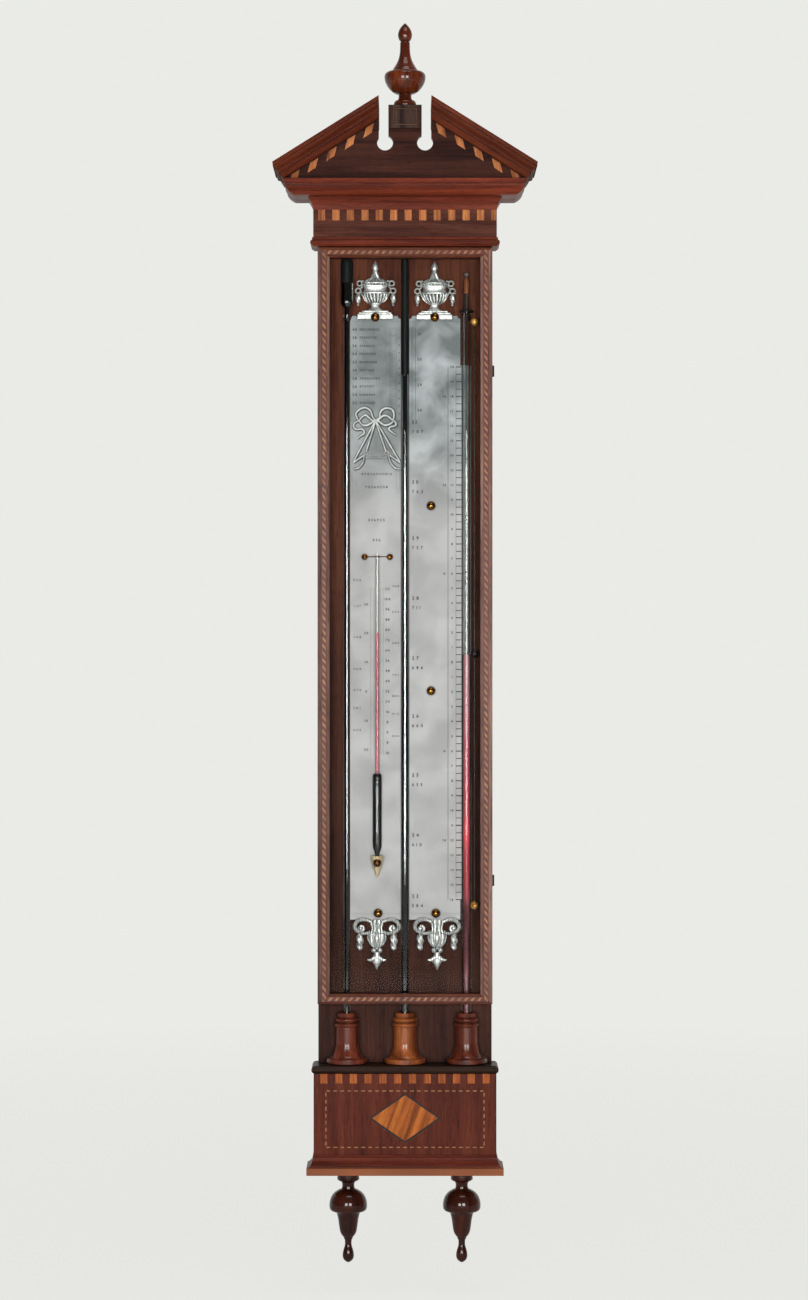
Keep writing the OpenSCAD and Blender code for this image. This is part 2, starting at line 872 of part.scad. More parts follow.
// The two pins in the middle of the right plate
pin_mid_x = 26.7;
pin_mid_drops = [195, 385];
dome_spots = concat(
    [for (s = [-1, 1]) [s * urn_x, plate_top - pin_top_in]],
    [for (x = pin_bottom_x) [x, plate_bottom + pin_bottom_in]],
    [for (h = pin_mid_drops) [pin_mid_x, plate_top - h]]
);
post_heights = [door_top - post_drop, door_top - post_drop - post_span];

// Shank of a domed pin, through the plate and into the board
module pin_shank(p) {
    translate([p[0], -board_t + shank_l, p[1]])
        rotate([90, 0, 0])
            cylinder(h = shank_l + plate_t, r = shank_r);
}

// The two small pins beside the top of the thermometer
tie_drop = 3;
tie_z = plate_top - thermo_drop - tie_drop;
tie_reach = 13;
tie_pin_r = 3.2;
tie_wire_r = 0.5;

module thermo_pin_shanks() {
    for (s = [-1, 1])
        pin_shank([-thermo_x + s * tie_reach, tie_z]);
}

module corner_cut(x, z) {
    translate([x, z])
        circle(r = corner_r);
}

module plate_left() {
    color("#b9bab7")
    difference() {
        front_plate(board_t, plate_front)
            difference() {
                translate([plate_left_x, plate_bottom])
                    square([plate_left_w, plate_top - plate_bottom]);
                corner_cut(plate_left_x, plate_top);
                corner_cut(-plate_gap, plate_top);
            }
        for (p = dome_spots)
            pin_shank(p);
        thermo_pin_shanks();
    }
}

module plate_right() {
    color("#b9bab7")
    difference() {
        front_plate(board_t, plate_front) {
            difference() {
                translate([plate_gap, plate_bottom])
                    square([plate_right_w, plate_top - plate_bottom]);
                corner_cut(plate_gap, plate_top);
                corner_cut(plate_right_end, plate_top);
            }
            translate([plate_right_end - over, strip_bottom])
                square([strip_end - plate_right_end + over, strip_top - strip_bottom]);
        }
        for (p = dome_spots)
            pin_shank(p);
    }
}

// Domed head seated at a given depth
module dome_pin(x, z, r, seat) {
    translate([x, -seat, z])
        rotate([90, 0, 0])
            rotate_extrude()
                polygon(concat([[0, 0]], arc([0, 0], r, 0, 90, 8)));
}

module plate_pins() {
    color("#a8742c")
    for (p = dome_spots) {
        // The two upper pins also hold the foot of an urn
        seat = plate_front + (p[1] > plate_top - 2 * pin_top_in ? ornament_t : 0);
        dome_pin(p[0], p[1], dome_r, seat);
        pin_shank(p);
        translate([p[0], -plate_front + over, p[1]])
            rotate([90, 0, 0])
                cylinder(h = seat - plate_front + 2 * over, r = shank_r);
    }
}

// Two small pins with a wire drawn round the front of the tube
module thermometer_tie() {
    ring_r = thermo_r + tie_wire_r;
    back = tube_d - plate_front - tie_pin_r / 2;
    leg = norm([tie_reach - ring_r, back]);
    turn = atan2(back, tie_reach - ring_r);
    color("#a8742c")
    union() {
        for (s = [-1, 1]) {
            dome_pin(-thermo_x + s * tie_reach, tie_z, tie_pin_r, plate_front);
            pin_shank([-thermo_x + s * tie_reach, tie_z]);
            translate([-thermo_x + s * ring_r, -tube_d, tie_z])
                rotate([0, 0, s > 0 ? turn : 180 - turn])
                    rotate([0, 90, 0])
                        cylinder(h = leg, r = tie_wire_r);
        }
        translate([-thermo_x, -tube_d, tie_z])
            rotate([0, 0, 180])
                rotate_extrude(angle = 180)
                    translate([ring_r, 0])
                        circle(r = tie_wire_r);
    }
}

ornament_t = 2;

// Outline of half an urn, from its foot up, as [half width, height]
urn_h = 56;
urn_foot = plate_top - 1;
urn_outline = [
    [18, 0], [18, 3], [15, 4.2], [7, 6.2], [5.2, 8], [5.2, 12], [8, 13.4],
    [11.5, 17], [14.2, 22], [14.8, 25], [15, 29], [14.6, 32], [10.5, 34.5],
    [6.4, 37], [4.4, 40], [3.6, 45.5], [4.6, 48.5], [3.4, 51.5], [1, 55], [0, urn_h]
];

module urn_shape() {
    last = len(urn_outline) - 1;
    polygon(concat(
        urn_outline,
        [for (i = [last:-1:0]) [-urn_outline[i][0], urn_outline[i][1]]]
    ));
    for (s = [-1, 1]) {
        // Scroll handle
        translate([s * 16.4, 31])
            difference() {
                circle(r = 3.4);
                circle(r = 1.5);
            }
        translate([s * 17.2, 23])
            difference() {
                circle(r = 3.6);
                circle(r = 1.7);
            }
        translate([s * 15.6, 27])
            square([2.2, 5], center = true);
        // Hanging drop below the handle
        translate([s * 17.4, 14.5])
            square([3.6, 12], center = true);
        translate([s * 17.4, 8.6])
            circle(r = 1.8);
    }
}

module urn(x) {
    difference() {
        translate([x, 0, urn_foot]) {
            front_plate(board_t, board_t + ornament_t)
                translate([0, 1])
                    urn_shape();
            // Raised middle of the urn's body
            front_plate(board_t + ornament_t - over, board_t + 2.6 * ornament_t)
                polygon([
                    [-8, 15], [8, 15], [11.5, 23], [11.5, 29], [7, 33.5],
                    [2.5, 38], [2.5, 47], [-2.5, 47], [-2.5, 38], [-7, 33.5], [-11.5, 29], [-11.5, 23]
                ]);
        }
        front_plate(board_t - over, board_t + far / 8)
            translate([x - far / 2, plate_top - far])
                square([far, far]);
    }
    // Foot lip over the top edge of the plate
    difference() {
        translate([x, 0, plate_top])
            front_plate(plate_front, plate_front + ornament_t)
                polygon([[-18, -3.4], [18, -3.4], [18, 2], [-18, 2]]);
        for (p = dome_spots)
            translate([p[0], -plate_front + over, p[1]])
                rotate([90, 0, 0])
                    cylinder(h = ornament_t + 2 * over, r = shank_r);
    }
}

module urn_left() {
    color("#c9cac8")
    urn(-urn_x);
}

module urn_right() {
    color("#c9cac8")
    urn(urn_x);
}

scroll_r = 8.4;

module shell_shape() {
    for (s = [-1, 1]) {
        // C scroll with its eye
        difference() {
            translate([s * 15, -scroll_r])
                circle(r = scroll_r);
            translate([s * 12.6, -7])
                circle(r = 2.7);
        }
        // Hanging drop
        translate([s * 16.9, -25])
            square([4.6, 18], center = true);
        translate([s * 16.9, -33.6])
            circle(r = 2.3);
    }
    polygon([[-15, 0], [15, 0], [15, -14], [9.8, -15], [9.5, -22], [5, -28.5],
             [-5, -28.5], [-9.5, -22], [-9.8, -15], [-15, -14]]);
    // Bud and pointed leaf
    polygon([[-4.6, -28], [4.6, -28], [4.8, -34.5], [9.8, -41], [4.6, -43.4], [0, -52],
             [-4.6, -43.4], [-9.8, -41], [-4.8, -34.5]]);
}

module shell(x) {
    translate([x, 0, plate_bottom]) {
        front_plate(board_t, board_t + ornament_t)
            shell_shape();
        front_plate(board_t + ornament_t - over, board_t + 2.6 * ornament_t)
            polygon([[-7, -9], [7, -9], [6.5, -21], [3.4, -26], [-3.4, -26], [-6.5, -21]]);
    }
}

// Distance of each shell from the middle
shell_left_x = 28.9;
shell_right_x = 33;

module shell_left() {
    color("#c9cac8")
    shell(-shell_left_x);
}

module shell_right() {
    color("#c9cac8")
    shell(shell_right_x);
}

// Straight barometer and its cistern
cistern_floor = base_top + cistern_lift;
cistern_d = board_t + bell_gap + cistern_r;
tube_head_gap = 2;
tube_top = bead_bottom - cross_board_t - tube_head_gap;
cistern_floor_t = 3;
pool_floor = cistern_floor + cistern_floor_t;
pool_top = pool_floor + pool_h;
tube_mouth = pool_floor + mouth_lift;
meniscus = pool_top + mercury_column;
lid_t = 4;
lid_top = cistern_floor + cistern_h;
// Back of the cistern that rests on the board
cistern_back_w = 18;
cistern_back_h = 14;
// Every liquid is this much smaller than the glass round it
fluid_gap = 0.05;

module straight_tube() {
    color("#dfe6e4", 0.35)
    difference() {
        union() {
            rod(0, tube_d, tube_r, tube_mouth, tube_top - tube_r);
            translate([0, -tube_d, tube_top - tube_r])
                sphere(r = tube_r);
        }
        rod(0, tube_d, tube_bore_r, tube_mouth - over, tube_top - tube_r);
        translate([0, -tube_d, tube_top - tube_r])
            sphere(r = tube_bore_r);
    }
}

module straight_mercury() {
    color("#9a9c9e")
    union() {
        rod(0, tube_d, tube_bore_r - fluid_gap, tube_mouth - over, meniscus);
        difference() {
            rod(0, cistern_d, cistern_r - cistern_wall - fluid_gap, pool_floor, pool_top);
            rod(0, tube_d, tube_r + fluid_gap, tube_mouth - fluid_gap, pool_top + over);
        }
    }
}

module cistern() {
    color("#9c7a4e")
    difference() {
        union() {
            rod(0, cistern_d, cistern_r, cistern_floor, lid_top - lid_t);
            slab(-cistern_back_w / 2, cistern_back_w / 2, board_t, cistern_d,
                cistern_floor, cistern_floor + cistern_back_h);
        }
        rod(0, cistern_d, cistern_r - cistern_wall, pool_floor, lid_top);
    }
}

module cistern_lid() {
    color("#8a6a42")
    difference() {
        rod(0, cistern_d, cistern_r, lid_top - lid_t, lid_top);
        rod(0, tube_d, tube_r, lid_top - lid_t - over, lid_top + over);
    }
}

// Contra-barometer
upper_bulb_top = tube_top;
upper_bulb_bottom = upper_bulb_top - upper_bulb_l;
bulge_drop = 9.5;
bulge_r = 4.4;
lower_bulb_lift = 7;
lower_bulb_bottom = shelf_top + lower_bulb_lift;
lower_bulb_top = lower_bulb_bottom + lower_bulb_l;
contra_mouth = door_top - mouth_drop;
spirit_top = door_top - spirit_drop;
run_lift = 12;
run_z = base_top + run_lift;
// Mercury levels as shares of the length of each bulb
upper_fill = 0.58;
lower_fill = 0.75;
upper_level = upper_bulb_top - (1 - upper_fill) * upper_bulb_l;
lower_level = lower_bulb_bottom + lower_fill * lower_bulb_l;

// Capsule along z
module capsule(x, r, z0, z1) {
    translate([x, -tube_d, z1 - r])
        sphere(r = r);
    translate([x, -tube_d, z0 + r])
        sphere(r = r);
    rod(x, tube_d, r, z0 + r, z1 - r);
}

// Quarter bend from the end of a limb, and its half of the level run
module bend(x, side, r) {
    translate([x + side * bend_r, -tube_d, run_z + bend_r])
        rotate([90, 0, 0])
            rotate([0, 0, side > 0 ? 180 : 270])
                rotate_extrude(angle = 90)
                    translate([bend_r, 0])
                        circle(r = r);
    translate([x + side * bend_r, -tube_d, run_z])
        rotate([0, side * 90, 0])
            cylinder(h = abs(x) - bend_r, r = r);
}

// Outer surface or bore of the whole contra-barometer
module contra_form(thin, wide, open, mouth_over) {
    capsule(-limb_left_x, wide, upper_bulb_bottom + limb_r - thin, upper_bulb_top - limb_r + thin);
    rod(-limb_left_x, tube_d, thin, run_z + bend_r, upper_bulb_bottom + wide * 0.8);
    bend(-limb_left_x, 1, thin);
    bend(limb_right_x, -1, thin);
    rod(limb_right_x, tube_d, thin, run_z + bend_r, lower_bulb_bottom + wide * 0.8);
    capsule(limb_right_x, wide, lower_bulb_bottom + limb_r - thin, lower_bulb_top - limb_r + thin);
    rod(limb_right_x, tube_d, open, lower_bulb_top - wide * 0.8, contra_mouth + mouth_over);
}

module contra_bore(less, mouth_over) {
    contra_form(limb_bore_r - less, bulb_bore_r - less, contra_bore_r - less, mouth_over);
}

module contra_glass() {
    color("#dfe6e4", 0.35)
    difference() {
        union() {
            contra_form(limb_r, bulb_r, contra_r, 0);
            translate([-limb_left_x, -tube_d, upper_bulb_bottom - bulge_drop])
                sphere(r = bulge_r);
        }
        contra_bore(0, over);
    }
}

module contra_mercury() {
    color("#9a9c9e")
    intersection() {
        contra_bore(fluid_gap, 0);
        union() {
            slab(-far, 0, -far, far, -far * 3, upper_level);
            slab(-over, far, -far, far, -far * 3, lower_level);
        }
    }
}

module contra_spirit() {
    color("#c0142c")
    intersection() {
        contra_bore(fluid_gap, 0);
        slab(0, far, -far, far, lower_level, spirit_top);
    }
}

// Thermometer
thermo_top = plate_top - thermo_drop;
thermo_bulb_bottom = plate_bottom + thermo_rise;
thermo_shoulder = thermo_bulb_bottom + thermo_bulb_l;
thermo_neck_r = 2.4;
thermo_glass_t = 0.9;

// Turned outline of the bulb, drawn smaller for its inside
module thermo_bulb(less) {
    r = thermo_bulb_r - less;
    neck = thermo_neck_r - less;
    translate([-thermo_x, -tube_d, thermo_bulb_bottom + less])
        rotate_extrude()
            polygon(concat(
                [[0, 0], [neck, 0]],
                bez([neck, 4], [neck, 8], [r, 9], [r, 15]),
                bez([r, thermo_bulb_l - 14], [r + 0.3, thermo_bulb_l - 9],
                    [r + 0.2, thermo_bulb_l - 6], [0.9, thermo_bulb_l - 2 * less]),
                [[0, thermo_bulb_l - 2 * less]]
            ));
}

module thermometer_glass() {
    color("#dfe6e4", 0.35)
    difference() {
        union() {
            rod(-thermo_x, tube_d, thermo_r, thermo_shoulder - 4, thermo_top);
            thermo_bulb(0);
        }
        rod(-thermo_x, tube_d, thermo_bore_r, thermo_shoulder - 6, thermo_top - 2);
        thermo_bulb(thermo_glass_t);
    }
}

module thermometer_spirit() {
    color("#c8143c")
    union() {
        rod(-thermo_x, tube_d, thermo_bore_r - fluid_gap,
            thermo_shoulder - 6, thermo_shoulder + thermo_column);
        thermo_bulb(thermo_glass_t + fluid_gap);
    }
}

cup_lift = 3;
cup_pin_r = 4.2;
cup_pin_drop = 7;
cup_pin_out = 3.6;

module thermometer_cup() {
    top = thermo_bulb_bottom + cup_lift;
    color("#cdbb96")
    difference() {
        intersection() {
            translate([-thermo_x, -tube_d, top])
                mirror([0, 0, 1])
                    rotate_extrude()
                        polygon(concat(
                            [[0, 0], [thermo_cup_r, 0], [thermo_cup_r - 0.6, 1.4]],
                            bez([thermo_cup_r - 1, 3], [thermo_cup_r - 2, 9], [3.2, 14], [0, thermo_cup_h])
                        ));
            slab(-far, 0, plate_front, far, -far * 2, far);
        }
        rod(-thermo_x, tube_d, thermo_neck_r, thermo_bulb_bottom, top + over);
    }
    // Round head of the pin that holds the cup
    dome_pin(-thermo_x, top - cup_pin_drop, cup_pin_r, tube_d + cup_pin_out);
}

// Guide wire with its posts
post_ball_r = 4;

module guide_wire() {
    color("#b8862f")
    union() {
        rod(wire_x, wire_d, wire_r, post_heights[1], post_heights[0]);
        for (z = post_heights) {
            translate([wire_x, -board_t + shank_l, z])
                rotate([90, 0, 0])
                    cylinder(h = wire_d - board_t + shank_l, r = shank_r);
            translate([wire_x, -wire_d, z])
                sphere(r = post_ball_r);
        }
    }
}

// Hinges: the pin axis lies just outside the face of the case, halfway in the door gap
hinge_out = 0.6;
hinge_x = case_x + hinge_out;
hinge_d = case_front + door_gap / 2;
hinge_heights = [door_top - hinge_inset, door_bottom + hinge_inset];
hinge_clear = 0.3;
knuckle_gap = 0.2;
hinge_bore_gap = 0.06;
knuckle_h = hinge_h / 3;
pin_proud = 0.4;

// Room for the knuckles in the wood
module hinge_recess() {
    for (z = hinge_heights)
        rod(hinge_x, hinge_d, knuckle_r + hinge_clear,
            z - hinge_h / 2 - hinge_clear, z + hinge_h / 2 + hinge_clear);
}

// Bed of a leaf whose back lies at a given depth
module leaf_bed(d) {
    for (z = hinge_heights)
        slab(hinge_x - leaf_w, hinge_x - knuckle_r, d, d + leaf_t, z - hinge_h / 2, z + hinge_h / 2);
}

// Leaves with their knuckles, given as offsets from the middle of the hinge
module leaves(d, offsets, h, bore_r) {
    difference() {
        union() {
            difference() {
                leaf_bed(d);
                for (z = hinge_heights)
                    rod(hinge_x, hinge_d, knuckle_r + hinge_clear, z - hinge_h, z + hinge_h);
            }
            for (z = hinge_heights, o = offsets) {
                rod(hinge_x, hinge_d, knuckle_r, z + o - h / 2, z + o + h / 2);
                slab(hinge_x - knuckle_r - hinge_clear - over, hinge_x, d, d + leaf_t,
                    z + o - h / 2, z + o + h / 2);
            }
        }
        for (z = hinge_heights)
            rod(hinge_x, hinge_d, bore_r, z - hinge_h, z + hinge_h);
    }
}

module hinge_leaves_case() {
    color("#8a6a34")
    leaves(case_front - leaf_t, [-knuckle_h, knuckle_h], knuckle_h, pin_r);
}

module hinge_leaves_door() {
    color("#8a6a34")
    leaves(door_back, [0], knuckle_h - 2 * knuckle_gap, pin_r + hinge_bore_gap);
}

module hinge_pins() {
    color("#b8862f")
    for (z = hinge_heights)
        rod(hinge_x, hinge_d, pin_r, z - hinge_h / 2 - pin_proud, z + hinge_h / 2 + pin_proud);
}

// Door
light_x = case_x - stile_w;
light_top = door_top - rail_w;
light_bottom = door_bottom + rail_w;
pane_gap = 0.2;
pane_x = light_x + rebate_w - pane_gap;
pane_back = door_back + glazing_t;

// Frame between an outer and an inner rectangle, as half width, bottom and top
module frame_shape(outer, inner) {
    difference() {
        translate([-outer[0], outer[1]])
            square([2 * outer[0], outer[2] - outer[1]]);
        translate([-inner[0], inner[1]])
            square([2 * inner[0], inner[2] - inner[1]]);
    }
}

module rebate_cut() {
    slab(-light_x - rebate_w, light_x + rebate_w, door_back - over, door_back + glazing_t + pane_t,
        light_bottom - rebate_w, light_top + rebate_w);
}

module rope_ring() {
    frame_shape(
        [case_x - rope_stile_in, door_bottom + rope_rail_in, door_top - rope_rail_in],
        [case_x - rope_stile_in - rope_w, door_bottom + rope_rail_in + rope_w,
         door_top - rope_rail_in - rope_w]
    );
}

module door_member(outline) {
    difference() {
        front_plate(door_back, front_d)
            polygon(outline);
        rebate_cut();
        front_plate(front_d - inlay_t, front_d + over)
            rope_ring();
        hinge_recess();
        leaf_bed(door_back);
    }
}

module door_stile_left() {
    color("#6b4030")
    door_member([
        [-case_x, door_bottom], [-light_x, light_bottom],
        [-light_x, light_top], [-case_x, door_top]
    ]);
}

module door_stile_right() {
    color("#6b4030")
    door_member([
        [case_x, door_bottom], [case_x, door_top],
        [light_x, light_top], [light_x, light_bottom]
    ]);
}

module door_rail_top() {
    color("#6b4030")
    door_member([
        [-case_x, door_top], [-light_x, light_top],
        [light_x, light_top], [case_x, door_top]
    ]);
}

module door_rail_bottom() {
    color("#6b4030")
    door_member([
        [-case_x, door_bottom], [case_x, door_bottom],
        [light_x, light_bottom], [-light_x, light_bottom]
    ]);
}

module rope_inlay() {
    color("#a8703e")
    front_plate(front_d - inlay_t, front_d)
        rope_ring();
}

module door_glass() {
    color("#cfd8d6", 0.2)
    slab(-pane_x, pane_x, pane_back, pane_back + pane_t,
        light_bottom - rebate_w + pane_gap, light_top + rebate_w - pane_gap);
}

module glazing_beads() {
    color("#4a2a20")
    front_plate(door_back, pane_back)
        frame_shape(
            [light_x + rebate_w, light_bottom - rebate_w, light_top + rebate_w],
            [light_x, light_bottom, light_top]
        );
}

// Pointer on the guide wire
finger_t = 0.9;
finger_w = 2.2;
pointer_bore_gap = 0.06;

module pointer() {
    z = door_top - pointer_drop;
    color("#14110f")
    difference() {
        union() {
            translate([wire_x, -wire_d, z])
                sphere(r = pointer_r);
            translate([0, 0, z])
                front_plate(wire_d - finger_t / 2, wire_d + finger_t / 2)
                    polygon([
                        [wire_x - pointer_r + 1, -finger_w / 2],
                        [wire_x - pointer_r + 1, finger_w / 2],
                        [wire_x - finger_l, 0]
                    ]);
        }
        rod(wire_x, wire_d, wire_r + pointer_bore_gap, z - far, z + far);
    }
}

// Stopper of the open tube: plug, collar, dark shank, wooden grip and a small knob
stopper_plug_l = 6;
stopper_gap = 0.3;
collar_t = 2.6;
shank_share = 0.46;
grip_share = 0.83;
knob_h = 4.2;

module stopper() {
    plug_r = contra_bore_r - stopper_gap;
    plug_z = -stopper_plug_l - stopper_gap;
    shank_z = stopper_h * shank_share;
    grip_z = stopper_h * grip_share;
    rim_r = collar_t / 2;
    color("#7a4526")
    translate([limb_right_x, -tube_d, contra_mouth + stopper_gap])
        rotate_extrude()
            polygon(concat(
                [[0, plug_z], [plug_r, plug_z], [plug_r, 0], [stopper_r - rim_r, 0]],
                arc([stopper_r - rim_r, rim_r], rim_r, -80, 80, 6),
                bez([3.2, collar_t], [2.3, collar_t + 0.6], [2.2, collar_t + 2], [2.1, shank_z - 1]),
                [[1.8, shank_z - 0.6], [1.8, shank_z]],
                bez([2.5, shank_z + 0.3], [2.8, shank_z + 5], [2.7, grip_z - 4], [2.2, grip_z]),
                [[1.1, grip_z + 0.6], [1.1, stopper_h - knob_h]],
                bez([2.2, stopper_h - knob_h + 0.4], [2.9, stopper_h - knob_h + 1.2],
                    [2.9, stopper_h - 0.6], [0, stopper_h])
            ));
}

// Bell covers, open at the back where they meet the board
slot_gap = 0.4;

// Turned outline, drawn smaller for the hollow
module bell_form() {
    h = bell_h - bell_gap;
    foot_h = 5;
    rotate_extrude()
        polygon(concat(
            [[0, 0], [bell_foot_r - 0.4, 0], [bell_foot_r, 0.6], [bell_foot_r, foot_h - 1],
             [bell_foot_r - 0.8, foot_h]],
            bez([bell_foot_r - 3.4, foot_h + 0.4], [bell_r + 2.6, foot_h + 2.6],
                [bell_r + 1, foot_h + 7], [bell_r, foot_h + 15]),
            [[bell_r - 0.3, h - 14.6]],
            arc([bell_r - 0.6, h - 12.2], 2.1, -80, 80, 6),
            [[bell_r - 0.9, h - 9.8]],
            arc([bell_r - 1.4, h - 7.2], 2.1, -70, 80, 6),
            [[bell_r - 2.2, h - 4.2], [bell_r - 1.7, h - 1], [bell_r - 2.4, h], [0, h]]
        ));
}

module bell_hollow() {
    h = bell_h - bell_gap;
    inner = bell_r - bell_wall - 0.4;
    rotate_extrude()
        polygon([
            [0, -over], [bell_foot_r - bell_wall - 1.4, -over], [bell_foot_r - bell_wall - 1.4, 2.6],
            [bell_r + 1, 6], [inner, 18], [inner, h - 5], [0, h - 5]
        ]);
}

module bell(x, hole_r) {
    translate([x, 0, shelf_top + bell_gap])
        difference() {
            translate([0, -tube_d, 0])
                difference() {
                    bell_form();
                    bell_hollow();
                }
            // Flat back against the board
            slab(-far, far, -far, board_t + bell_gap, -far, far);
            // Slot in the crown, so that the cover draws forward off the tube
            translate([0, -tube_d, 0])
                cylinder(h = far, r = hole_r + slot_gap);
            slab(-hole_r - slot_gap, hole_r + slot_gap, -far, tube_d, 0, far);
        }
}

module bell_left() {
    color("#5c2a1c")
    bell(-limb_left_x, limb_r);
}

module bell_middle() {
    color("#a2561f")
    bell(0, tube_r);
}

module bell_right() {
    color("#54261a")
    bell(limb_right_x, contra_r);
}

// Hanging plate and its screws
module hanging_plate() {
    color("#a8843c")
    difference() {
        slab(-hang_plate_w / 2, hang_plate_w / 2, 0, hang_plate_t,
            -hang_plate_h / 2, hang_plate_h / 2);
        rotate([90, 0, 0])
            cylinder(h = far / 10, r = hang_r, center = true);
        for (z = [-screw_z, screw_z])
            screw_form(z);
    }
}

module screw_form(z) {
    translate([0, 0, z])
        rotate([90, 0, 0])
            rotate_extrude()
                polygon([
                    [0, 0], [screw_r * 2, 0], [screw_r, hang_plate_t],
                    [screw_r, hang_plate_t + screw_l - 2], [0, hang_plate_t + screw_l]
                ]);
}

module hanging_screws() {
    color("#a8843c")
    for (z = [-screw_z, screw_z])
        screw_form(z);
}

backboard();
case_sides();
case_head();
case_foot();
frieze_front();
frieze_sides();
frieze_inlay();
bead_moulding();
cavetto_moulding();
corona_moulding();
tympanum();
tympanum_inlay();
raking_cornice_left();
raking_cornice_right();
pedestal_block();
finial();
shelf();
box_front();
box_sides();
box_inlay();
diamond_inlay();
box_stringing();
base_moulding();
pendants();
plate_left();
plate_right();
plate_pins();
urn_left();
urn_right();
shell_left();
shell_right();
straight_tube();
straight_mercury();
cistern();
cistern_lid();
contra_glass();
contra_mercury();
contra_spirit();
thermometer_glass();
thermometer_spirit();
thermometer_cup();
thermometer_tie();
guide_wire();
hinge_leaves_case();
hinge_pins();
hanging_plate();
hanging_screws();
door_stile_left();
door_stile_right();
door_rail_top();
door_rail_bottom();
rope_inlay();
door_glass();
glazing_beads();
hinge_leaves_door();
pointer();
stopper();
bell_left();
bell_middle();
bell_right();
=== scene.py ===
from math import acos, cos, hypot, pi, radians, sin, sqrt

import bmesh
import bpy
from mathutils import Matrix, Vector


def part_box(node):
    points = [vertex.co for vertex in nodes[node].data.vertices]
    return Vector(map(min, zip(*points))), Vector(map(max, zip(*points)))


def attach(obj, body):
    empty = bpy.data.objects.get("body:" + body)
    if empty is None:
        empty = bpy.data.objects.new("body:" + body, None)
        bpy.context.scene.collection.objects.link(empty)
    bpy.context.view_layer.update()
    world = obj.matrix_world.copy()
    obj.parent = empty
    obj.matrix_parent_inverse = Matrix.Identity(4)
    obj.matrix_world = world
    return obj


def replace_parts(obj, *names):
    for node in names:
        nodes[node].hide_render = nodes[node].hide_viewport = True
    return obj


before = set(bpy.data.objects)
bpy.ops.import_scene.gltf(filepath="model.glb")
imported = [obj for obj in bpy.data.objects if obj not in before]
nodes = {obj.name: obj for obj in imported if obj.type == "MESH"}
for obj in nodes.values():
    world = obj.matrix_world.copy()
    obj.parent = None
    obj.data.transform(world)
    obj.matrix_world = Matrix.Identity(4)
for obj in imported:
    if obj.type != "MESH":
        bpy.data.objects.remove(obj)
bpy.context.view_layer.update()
scene = bpy.context.scene

# camera
# The photograph's eye in millimetres: level, 3.157 m in front of the wall
EYE_X, EYE_D, EYE_Z = -1.03, 3157.0, -470.0
# Its focal length and the middle of its picture, in pixels of the photograph
FOCAL = 3063.0
MID_U, MID_V = 405.0, 650.0
# Faces of the backboard and of the plates, as distances from the wall, and the ends of the plates
BOARD_D, PLATE_D = 10.05, 11.5
PLATE_TOP, PLATE_BOTTOM = -126.9, -746.9
# Millimetres that a pixel of the photograph covers on the plates
PIXEL = (EYE_D - PLATE_D) / FOCAL


def add_object(name, data):
    made = bpy.data.objects.new(name, data)
    scene.collection.objects.link(made)
    return made


camera_data = bpy.data.cameras.new("camera")
camera_data.sensor_fit = "VERTICAL"
camera_data.sensor_height = 36.0
camera_data.lens = 84.82
camera_data.clip_start = 0.05
camera_data.clip_end = 60.0
camera = add_object("camera", camera_data)
camera.location = (EYE_X / 1000, -EYE_D / 1000, EYE_Z / 1000)
camera.rotation_euler = (radians(90), 0, 0)
scene.camera = camera
scene.view_settings.view_transform = "Standard"

BACKGROUND = (0.823, 0.831, 0.799, 1.0)


def photo(u, v):
    """Millimetres (x, z) on the plates, of a point of the photograph."""
    return (u - MID_U) * PIXEL, (MID_V - v) * PIXEL + EYE_Z


# node helpers
def put(tree, kind, ins=None, **props):
    """Adds a shader node and gives its outputs; ins maps input names or numbers to values or sockets."""
    n = tree.nodes.new("ShaderNode" + kind)
    for key, value in props.items():
        setattr(n, key, value)
    for key, value in (ins or {}).items():
        if isinstance(value, bpy.types.NodeSocket):
            tree.links.new(value, n.inputs[key])
        else:
            n.inputs[key].default_value = value
    return n.outputs


def calc(tree, operation, a, b=0.0, clamp=False):
    return put(tree, "Math", {0: a, 1: b}, operation=operation, use_clamp=clamp)[0]


def plus(tree, a, b, clamp=False):
    return calc(tree, "ADD", a, b, clamp)


def minus(tree, a, b):
    return calc(tree, "SUBTRACT", a, b)


def times(tree, a, b):
    return calc(tree, "MULTIPLY", a, b)


def absolute(tree, a):
    return calc(tree, "ABSOLUTE", a)


def remap(tree, value, lo, hi, to_lo=0.0, to_hi=1.0, kind="LINEAR"):
    return put(tree, "MapRange", {0: value, 1: lo, 2: hi, 3: to_lo, 4: to_hi},
               interpolation_type=kind)[0]


def spread(tree, value, at_low, at_high):
    """A value that follows the middle range of a noise."""
    return remap(tree, value, 0.3, 0.7, at_low, at_high)


def noise(tree, vector, scale, detail=3.0, rough=0.55, distortion=0.0):
    return put(tree, "TexNoise", {
        "Vector": vector, "Scale": scale, "Detail": detail,
        "Roughness": rough, "Distortion": distortion,
    })["Fac"]


def srgb(r, g, b):
    """Linear colour of an 0-255 colour."""
    out = []
    for c in (r, g, b):
        c /= 255
        out.append(c / 12.92 if c < 0.04045 else ((c + 0.055) / 1.055) ** 2.4)
    return (*out, 1.0)


def grey(value):
    return (value, value, value, 1)


def scaled(colour, by):
    return (*[c * by for c in colour[:3]], 1)


def mix_colour(tree, fac, a, b, blend="MIX"):
    return put(tree, "Mix", {0: fac, 6: a, 7: b}, data_type="RGBA", blend_type=blend)[2]


def two_tone(tree, value, a, b, end=0.65):
    """From one 0-255 colour to another, over the middle range of a noise."""
    return mix_colour(tree, remap(tree, value, 0.35, end), srgb(*a), srgb(*b))


